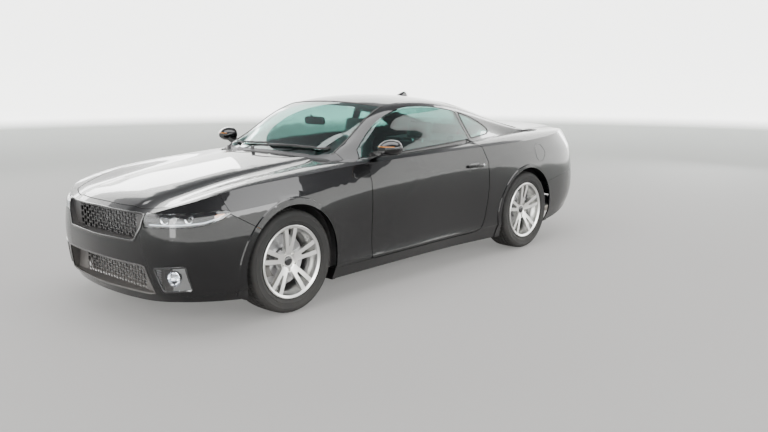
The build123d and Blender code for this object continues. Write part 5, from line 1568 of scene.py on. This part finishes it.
boot_rows = [(0.050, 0.0), (0.047, 0.012), (0.034, 0.030), (0.036, 0.040), (0.022, 0.058), (0.014, 0.075)]
stick = turned(
    [
        (0.0085, 0.06), (0.0085, 0.135), (0.020, 0.145), (0.025, 0.165), (0.024, 0.185), (0.014, 0.198),
        (0.0, 0.201),
    ],
    36, close=False,
)
shift_place = along_x((0.30, 0.0, console_top.z), -6)
piece("gear_boot", moved(turned(boot_rows, 40, close=False), shift_place), leather, "cabin_trim")
piece("gear_lever", moved(stick, shift_place), chrome)
brake_path = smooth_path(
    [
        (0.20, 0.075, console_top.z), (0.16, 0.075, console_top.z + 0.030),
        (0.08, 0.075, console_top.z + 0.042), (0.02, 0.075, console_top.z + 0.045),
    ],
    6,
)
tunnel_top, _ = surface("floor_pan", (0.0, 0.0, 1.5), (0, 0, -1))
rest_box = moved(
    plate_shape(0.40, 0.150, 0.075, 0.030), Matrix.Translation(Vector((-0.09, 0.0, tunnel_top.z)))
)
piece("centre_armrest", rest_box, leather, bevel=0.012, levels=1)
piece("hand_brake", drawn(brake_path, ring_section(0.012, 14)), leather, "cabin_trim")
for name, y, x, width in (
    ("clutch_pedal", 0.450, 0.765, 0.062), ("brake_pedal", 0.365, 0.765, 0.070),
    ("throttle_pedal", 0.270, 0.775, 0.046),
):
    pad_place = along_x((x, y, 0.330), -118) @ Matrix.Rotation(math.radians(90), 4, "Z")
    pad = moved(plate_shape(width, 0.070, 0.010, 0.008), pad_place)
    stem = drawn(
        smooth_path([(x + 0.006, y, 0.335), (x + 0.050, y, 0.44), (x + 0.075, y, 0.57)], 6),
        bar_section(0.014, 0.010), up=(0, 1, 0),
    )
    piece(name, joined(pad, stem), trim_black, "cabin_trim", bevel=0.0012)
print("controls built")

# %% [markdown]
# The steering wheel is turned and drawn in its own plane: a leather rim with a seam, three padded
# spokes with thin bright inserts, and a plain round boss cushion with no badge.

# %% Steering wheel
WHEEL_HUB = Vector((0.430, DRIVER_Y, 0.800))
hub_out = Vector((-0.91, 0.0, 0.42)).normalized()
hub_across = Vector((0, 1, 0))
hub_turn = Matrix((hub_across, hub_out.cross(hub_across), hub_out)).transposed().to_4x4()
hub_place = Matrix.Translation(WHEEL_HUB) @ hub_turn
cushion = turned(
    [(0.0, 0.030), (0.030, 0.029), (0.052, 0.022), (0.060, 0.008), (0.061, -0.004)], 56, close=False
)
piece("wheel_boss", moved(cushion, hub_place), cabin_trim)
boss_ring = turned([(0.040, 0.0275), (0.0415, 0.0290), (0.043, 0.0268)], 56)
piece("boss_ring", moved(boss_ring, hub_place), chrome)
for number, angle in enumerate((0, 180, 270)):
    way = Vector((math.cos(math.radians(angle)), math.sin(math.radians(angle)), 0))
    line = [
        way * reach + Vector((0, 0, rise))
        for reach, rise in ((0.066, 0.006), (0.110, 0.006), (0.158, 0.004))
    ]
    insert = drawn(line, bar_section(0.012, 0.004))
    piece(f"spoke_insert_{number}", moved(insert, hub_place), chrome, bevel=0.001)
seam = turned([(0.1628, 0.0), (0.1632, 0.0016), (0.1640, 0.0)], 96)
piece("rim_seam", moved(seam, hub_place), thread)
stalks = []
for sign in (-1, 1):
    line = [(sign * 0.045, 0.02, -0.045), (sign * 0.110, 0.028, -0.040), (sign * 0.165, 0.032, -0.028)]
    stalks.append(drawn(smooth_path(line, 5), ring_section(0.006)))
piece("column_stalks", moved(joined(*stalks), hub_place), trim_black, "cabin_trim")
print("steering wheel dressed")

# %% [markdown]
# Small cabin pieces: an inside mirror on the windshield, folded sun visors under the roof, seat belts
# that hang from a guide on each pillar, and their buckles beside the seats.

# %% Mirror, visors and belts
glass_point, glass_normal = surface("windshield", (3.0, 0.0, 1.235), (-1, 0, 0))
stem_end = glass_point - glass_normal * 0.012 + Vector((-0.055, 0, -0.040))
piece(
    "inside_mirror_stem",
    drawn([glass_point - glass_normal * 0.008, stem_end], ring_section(0.007, 12), up=(0, 1, 0)),
    trim_black,
)
mirror_turn = Matrix(((0, 1, 0), (0.17, 0, 0.985), (0.985, 0, -0.17))).transposed().to_4x4()
shell = moved(plate_shape(0.225, 0.062, 0.022, 0.026), Matrix.Translation(stem_end) @ mirror_turn)
piece("inside_mirror_shell", shell, trim_black, bevel=0.004)
glass_at = Matrix.Translation(stem_end - Vector((0.002, 0, 0)))
glass_face = moved(plate_shape(0.208, 0.050, 0.002, 0.022), glass_at @ mirror_turn)
piece("inside_mirror_glass", glass_face, mirror_glass)
for side_name, side in SIDES.items():
    pair_rows = []
    for x in np.linspace(0.075, 0.235, 7):
        pairs = []
        for y in np.linspace(0.095, 0.430, 12):
            point, normal = surface("windshield", (x, side * y, 0.7), (0, 0, 1))
            if point is None:
                point, normal = surface("roof_panel", (x, side * y, 0.7), (0, 0, 1))
            pairs.append((point + normal * 0.010, normal))
        pair_rows.append(pairs)
    piece(f"sun_visor_{side_name}", patch(pair_rows, 0.014), headlining, bevel=0.004)
    anchor = Vector((-0.480, side * 0.640, 1.010))
    web = [
        anchor + Vector(drop)
        for drop in ((0, 0, 0), (0, side * 0.006, -0.30), (0.01, side * 0.012, -0.62))
    ]
    piece(f"belt_web_{side_name}", drawn(web, bar_section(0.0016, 0.046), up=(1, 0, 0)), webbing)
    loop = moved(
        plate_shape(0.060, 0.034, 0.008, 0.010),
        Matrix.Translation(anchor) @ Matrix.Rotation(math.radians(90 * side), 4, "X"),
    )
    piece(f"belt_guide_{side_name}", loop, trim_black, "cabin_trim", bevel=0.002)
    buckle = moved(
        plate_shape(0.030, 0.018, 0.075, 0.004), Matrix.Translation(Vector((-0.16, side * 0.185, 0.395)))
    )
    piece(f"belt_buckle_{side_name}", buckle, trim_black, "cabin_trim", bevel=0.002)
print("cabin pieces built")

# %% [markdown]
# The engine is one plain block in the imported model. When the hood is open a maker expects the dress of
# a V8 on top of it: an intake box with runners, two valve covers with ribs, a belt drive in front, an
# air filter box, a battery, bottles, a fuse box, a brake booster, hoses, and the fan in its ring.

# %% Engine bay
def box_shape(low, high, corner=0.012):
    """A block between two corners with rounded uprights, standing on its lower face."""
    low, high = Vector(low), Vector(high)
    size = high - low
    middle = Vector(((low.x + high.x) / 2, (low.y + high.y) / 2, low.z))
    return moved(
        plate_shape(size.x, size.y, size.z, min(corner, size.x / 2.1, size.y / 2.1)),
        Matrix.Translation(middle),
    )


cover = [box_shape((1.200, -0.105, 0.762), (1.560, 0.105, 0.800), 0.030)]
cover += [
    box_shape((1.230 + 0.055 * i, -0.085, 0.800), (1.250 + 0.055 * i, 0.085, 0.806), 0.004)
    for i in range(6)
]
piece("intake_cover", joined(*cover), trim_black, bevel=0.004)
runners = []
for side in (-1, 1):
    for i in range(4):
        x = 1.225 + 0.095 * i
        route = smooth_path([(x, side * 0.095, 0.790), (x, side * 0.150, 0.786), (x, side * 0.200, 0.765)], 5)
        runners.append(drawn(route, ring_section(0.019, 14), up=(1, 0, 0)))
piece("intake_runners", joined(*runners), cast_alloy)
for side_name, side in SIDES.items():
    ribs = [box_shape((1.130, side * 0.225 - 0.040, 0.762), (1.630, side * 0.225 + 0.040, 0.782), 0.018)]
    ribs += [
        box_shape(
            (1.150, side * 0.225 - 0.026 + 0.017 * i, 0.782),
            (1.610, side * 0.225 - 0.021 + 0.017 * i, 0.787), 0.002,
        )
        for i in range(4)
    ]
    piece(f"valve_cover_{side_name}", joined(*ribs), cast_alloy, bevel=0.0025)
filler = turned([(0.0, 0.022), (0.020, 0.022), (0.024, 0.018), (0.024, 0.0)], 28, close=False)
piece("oil_filler_cap", moved(filler, Matrix.Translation((1.560, 0.225, 0.784))), trim_black)
pulleys = []
for y, z, radius in (
    (0.0, 0.360, 0.085), (0.0, 0.560, 0.062), (0.150, 0.640, 0.045), (-0.150, 0.640, 0.050),
    (0.160, 0.450, 0.040),
):
    groove = turned(
        [
            (radius * 0.3, 0.004), (radius * 0.8, 0.006), (radius, 0.0), (radius, 0.010),
            (radius - 0.004, 0.013), (radius, 0.016), (radius, 0.028), (0.0, 0.030),
        ],
        40, close=False,
    )
    pulleys.append(moved(groove, along_x((1.722, y, z))))
piece("belt_pulleys", joined(*pulleys), disc_iron, "steel")
belt_run = smooth_path(
    [
        (1.736, 0.085, 0.360), (1.736, 0.198, 0.450), (1.736, 0.193, 0.650), (1.736, 0.140, 0.686),
        (1.736, 0.0, 0.624), (1.736, -0.140, 0.691), (1.736, -0.198, 0.640), (1.736, -0.085, 0.360),
        (1.736, 0.0, 0.275),
    ],
    6, closed=True,
)
piece("drive_belt", drawn(belt_run, bar_section(0.022, 0.004), closed=True, up=(1, 0, 0)), rubber)
piece(
    "air_box",
    joined(
        box_shape((1.700, 0.340, 0.520), (1.960, 0.500, 0.670), 0.03),
        box_shape((1.710, 0.350, 0.672), (1.950, 0.490, 0.700), 0.03),
    ),
    trim_black, bevel=0.005,
)
piece(
    "air_duct",
    drawn(
        smooth_path(
            [(1.780, 0.400, 0.690), (1.720, 0.330, 0.725), (1.620, 0.160, 0.735), (1.540, 0.040, 0.782)], 8
        ),
        ring_section(0.038, 18),
    ),
    rubber,
)
piece(
    "battery",
    joined(
        box_shape((1.120, -0.505, 0.470), (1.290, -0.345, 0.650), 0.008),
        box_shape((1.116, -0.509, 0.650), (1.294, -0.341, 0.668), 0.008),
    ),
    trim_black, bevel=0.003,
)
post = turned([(0.0, 0.018), (0.008, 0.018), (0.009, 0.0)], 20, close=False)
posts = [moved(post, Matrix.Translation((x, -0.375, 0.668))) for x in (1.150, 1.260)]
piece("battery_posts", joined(*posts), chrome)
piece(
    "coolant_tank", box_shape((1.120, 0.370, 0.520), (1.260, 0.515, 0.680), 0.04), bottle_white,
    bevel=0.010, levels=1,
)
piece("coolant_cap", moved(filler, Matrix.Translation((1.190, 0.440, 0.680))), trim_black)
piece(
    "washer_tank", box_shape((1.820, -0.640, 0.420), (1.960, -0.500, 0.600), 0.035), bottle_white,
    bevel=0.010, levels=1,
)
piece("fuse_box", box_shape((1.760, -0.480, 0.560), (1.960, -0.380, 0.640)), trim_black, bevel=0.004)
booster = turned(
    [(0.0, 0.120), (0.050, 0.118), (0.120, 0.085), (0.128, 0.060), (0.120, 0.010), (0.060, 0.0)], 48,
    close=False,
)
piece("brake_booster", moved(booster, along_x((0.966, 0.400, 0.690))), cast_steel)
piece(
    "brake_cylinder", drawn([(1.086, 0.400, 0.690), (1.230, 0.400, 0.690)], ring_section(0.020, 18)),
    cast_alloy,
)
for name, route, radius in (
    (
        "upper_hose",
        [(2.135, 0.300, 0.640), (2.000, 0.290, 0.655), (1.860, 0.150, 0.650), (1.735, 0.060, 0.600)], 0.021,
    ),
    (
        "lower_hose",
        [(2.135, -0.300, 0.300), (2.000, -0.270, 0.300), (1.860, -0.120, 0.330), (1.740, -0.050, 0.430)],
        0.021,
    ),
    ("heater_hose_left", [(0.970, 0.160, 0.650), (1.020, 0.170, 0.700), (1.120, 0.150, 0.770)], 0.011),
    ("heater_hose_right", [(0.970, -0.160, 0.650), (1.020, -0.170, 0.700), (1.120, -0.150, 0.770)], 0.011),
):
    piece(name, drawn(smooth_path(route, 10), ring_section(radius, 16)), rubber)
shroud_rows = [(0.215, 0.0), (0.222, 0.0), (0.222, -0.050), (0.214, -0.055), (0.210, -0.030)]
fan_place = along_x((2.136, 0.0, 0.455))
piece("fan_ring", moved(turned(shroud_rows, 64), fan_place), trim_black)
blades = []
for i in range(9):
    angle = math.tau * i / 9
    rows = []
    for r in (0.045, 0.10, 0.155, 0.202):
        twist = 0.55 - 1.2 * r
        lead = Vector((r * math.cos(angle + 0.9 * r), r * math.sin(angle + 0.9 * r), -0.030))
        tangent = Vector((-math.sin(angle + 0.9 * r), math.cos(angle + 0.9 * r), 0))
        rows.append(
            [
                lead + tangent * (0.030 * c) + Vector((0, 0, 0.016 * c * twist * 2))
                for c in (-1, -0.3, 0.4, 1)
            ]
        )
    normals = [[Vector((0, 0, 1))] * 4 for _ in rows]
    blades.append(slab(rows, normals, 0.003))
hub = turned(
    [(0.0, -0.050), (0.044, -0.048), (0.050, -0.040), (0.050, -0.014), (0.0, -0.012)], 40, close=False
)
piece("cooling_fan", moved(joined(hub, *blades), fan_place), trim_black)
print("engine bay built")

# %% [markdown]
# Behind the upper grille a radiator core can be made out: rows of flat tubes with fine fins. It lies on
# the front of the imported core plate.

# %% Radiator face
tube, fin = bar_section(0.004, 0.0065), bar_section(0.0012, 0.004)
tubes = [drawn([(2.2035, -0.440, z), (2.2035, 0.440, z)], tube) for z in np.arange(0.225, 0.690, 0.0155)]
piece("radiator_tubes", joined(*tubes), cast_alloy)
fins = [
    drawn([(2.2030, y, 0.222), (2.2030, y, 0.690)], fin, up=(0, 1, 0))
    for y in np.arange(-0.436, 0.437, 0.012)
]
piece("radiator_fins", joined(*fins), disc_iron, "steel")
print("radiator built")

# %% [markdown]
# Springs are a wire drawn along a helix. The front ones wrap their damper between two pans; the rear
# ones stand between the axle and the floor. Rear dampers, calipers and brake hoses, and the ends of the
# exhaust, finish what can be seen behind the wheels and from below.

# %% Springs, calipers and pipes
def spring(centre, low, high, radius, wire, turns, name):
    """A coil with closed ends, about an upright line."""
    path, steps = [], turns * 22
    for i in range(steps + 1):
        share = i / steps
        rise = 0.5 - 0.5 * math.cos(math.pi * share)
        rise = 0.35 * rise + 0.65 * share
        angle = math.tau * turns * share
        path.append(
            (
                centre[0] + radius * math.cos(angle), centre[1] + radius * math.sin(angle),
                low + (high - low) * rise,
            )
        )
    piece(name, drawn(path, ring_section(wire)), spring_paint)


FRONT_AXLE_X, REAR_AXLE_X = WHEELS["front_left"].x, WHEELS["rear_left"].x
for side_name, side in SIDES.items():
    spring((FRONT_AXLE_X, side * 0.600), 0.490, 0.715, 0.0405, 0.0045, 7, f"front_spring_{side_name}")
    pan = turned(
        [(0.041, 0.0), (0.070, 0.0), (0.074, 0.012), (0.072, 0.013), (0.068, 0.004), (0.041, 0.004)], 44
    )
    for number, (height, wide, flip) in enumerate(((0.478, 0.62, 1), (0.728, 1, -1))):
        pan_height = Matrix.Translation((FRONT_AXLE_X, side * 0.600, height))
        turn = pan_height @ Matrix.Diagonal((wide, wide, flip, 1))
        piece(f"spring_pan_{side_name}_{number}", moved(pan, turn), cast_steel)
    spring((REAR_AXLE_X, side * 0.470), 0.392, 0.512, 0.062, 0.0065, 4, f"rear_spring_{side_name}")
    damper = drawn(
        [(REAR_AXLE_X - 0.10, side * 0.500, 0.330), (REAR_AXLE_X - 0.13, side * 0.470, 0.515)],
        ring_section(0.022, 18),
    )
    piece(f"rear_damper_{side_name}", damper, cast_steel)
    low = (REAR_AXLE_X - 0.190, side * 0.790 - 0.040, 0.300)
    high = (REAR_AXLE_X - 0.110, side * 0.790 + 0.040, 0.420)
    piece(f"rear_caliper_{side_name}", box_shape(low, high, 0.018), cast_alloy, bevel=0.006)
    hose = smooth_path(
        [
            (REAR_AXLE_X - 0.120, side * 0.740, 0.400), (REAR_AXLE_X - 0.100, side * 0.660, 0.430),
            (REAR_AXLE_X - 0.020, side * 0.600, 0.390),
        ],
        8,
    )
    piece(f"rear_brake_hose_{side_name}", drawn(hose, ring_section(0.006)), rubber)
    tip = turned([(0.0385, -0.06), (0.0385, 0.028), (0.0425, 0.034), (0.0465, 0.030), (0.0465, -0.06)], 56)
    tip_place = along_x((-2.330, side * 0.520, 0.245), -90)
    piece(f"exhaust_tip_{side_name}", moved(tip, tip_place), chrome, "exhaust_steel")
    for number, x in enumerate((-1.90, -2.12)):
        strap = drawn(
            [(x, side * 0.430, 0.300), (x, side * 0.425, 0.318)], bar_section(0.026, 0.010), up=(1, 0, 0)
        )
        piece(f"exhaust_hanger_{side_name}_{number}", strap, rubber)
print("chassis dressed")

# %% [markdown]
# At the back: a release bar on the lid, the seam of a round fuel flap on the left, a short aerial
# on the roof, the high brake lamp, and a red reflector low in each corner of the bumper.

# %% Rear and roof trim
_, lid_normal = on_back("trunk_lid", 0.0, 0.870)
lid_across = Vector((0, 1, 0))
lid_turn = Matrix((lid_across, lid_normal.cross(lid_across).normalized(), lid_normal)).transposed().to_4x4()
flap_rim = []
for i in range(64):
    angle = math.tau * i / 64
    x, z = -1.420 + 0.078 * math.cos(angle), 0.850 + 0.078 * math.sin(angle)
    flap_rim.append(on_side("body_side_left", 1.0, x, z, 0.0005)[0])
piece("fuel_flap_seam", drawn(flap_rim, bar_section(0.0024, 0.0030), closed=True, up=(0, 1, 0)), gloss_trim)
fin_at, _ = surface("roof_panel", (-0.560, 0.0, 2.0), (0, 0, -1))
fin_rows = []
for share in np.linspace(0, 1, 9):
    long, wide = 0.085 * (1 - share) ** 0.7 + 0.012, 0.020 * (1 - share) ** 0.8 + 0.003
    centre = fin_at + Vector((-0.045 * share, 0, 0.048 * share - 0.002))
    fin_rows.append(
        [centre + Vector((long * math.cos(a), wide * math.sin(a), 0)) for a in np.linspace(0, math.tau, 25)]
    )
fin_rows.append([fin_at + Vector((-0.046, 0, 0.0475))] * 25)
piece("roof_aerial", grid(fin_rows), gloss_trim)
brake_line = hits("trunk_lid", [(-1.735, y, 2.0) for y in np.linspace(-0.150, 0.150, 20)], (0, 0, -1), 0.002)
if len(brake_line) > 4:
    piece(
        "high_brake_lamp", drawn(brake_line, bar_section(0.010, 0.006)), red_lens, body="trunk_lid",
        bevel=0.001,
    )
lid_lock, _ = on_back("trunk_lid", 0.0, 0.870, 0.001)
piece(
    "lid_release", moved(plate_shape(0.140, 0.018, 0.006, 0.008), Matrix.Translation(lid_lock) @ lid_turn),
    gloss_trim, body="trunk_lid", bevel=0.002,
)
for side_name, side in SIDES.items():
    reflect = [on_back("rear_bumper", side * y, 0.395, 0.0015)[0] for y in np.linspace(0.60, 0.78, 12)]
    piece(
        f"rear_reflector_{side_name}", drawn(reflect, bar_section(0.005, 0.026, 0.2)), red_lens, bevel=0.001
    )
print("rear trim built")

# %% [markdown]
# A sound-deadening pad lies under the hood, and swings up with it. It is a sheet with thickness, laid a
# few millimetres under the hood's inner skin wherever a whole row of rays meets it.

# %% Hood pad
PAD_COLUMNS = 13
under_hood = []
for x in np.linspace(1.15, 2.05, 16):
    row = hits("hood", [(x, y, 0.2) for y in np.linspace(-0.42, 0.42, PAD_COLUMNS)], (0, 0, 1), 0.004)
    if len(row) == PAD_COLUMNS:
        under_hood.append(row)
if len(under_hood) > 3:
    flat_down = [[Vector((0, 0, -1))] * PAD_COLUMNS] * len(under_hood)
    piece(
        "hood_pad", slab(under_hood, flat_down, -0.006), speaker_cloth, "trim_black", body="hood",
        bevel=0.002,
    )
print("hood pad rows", len(under_hood))
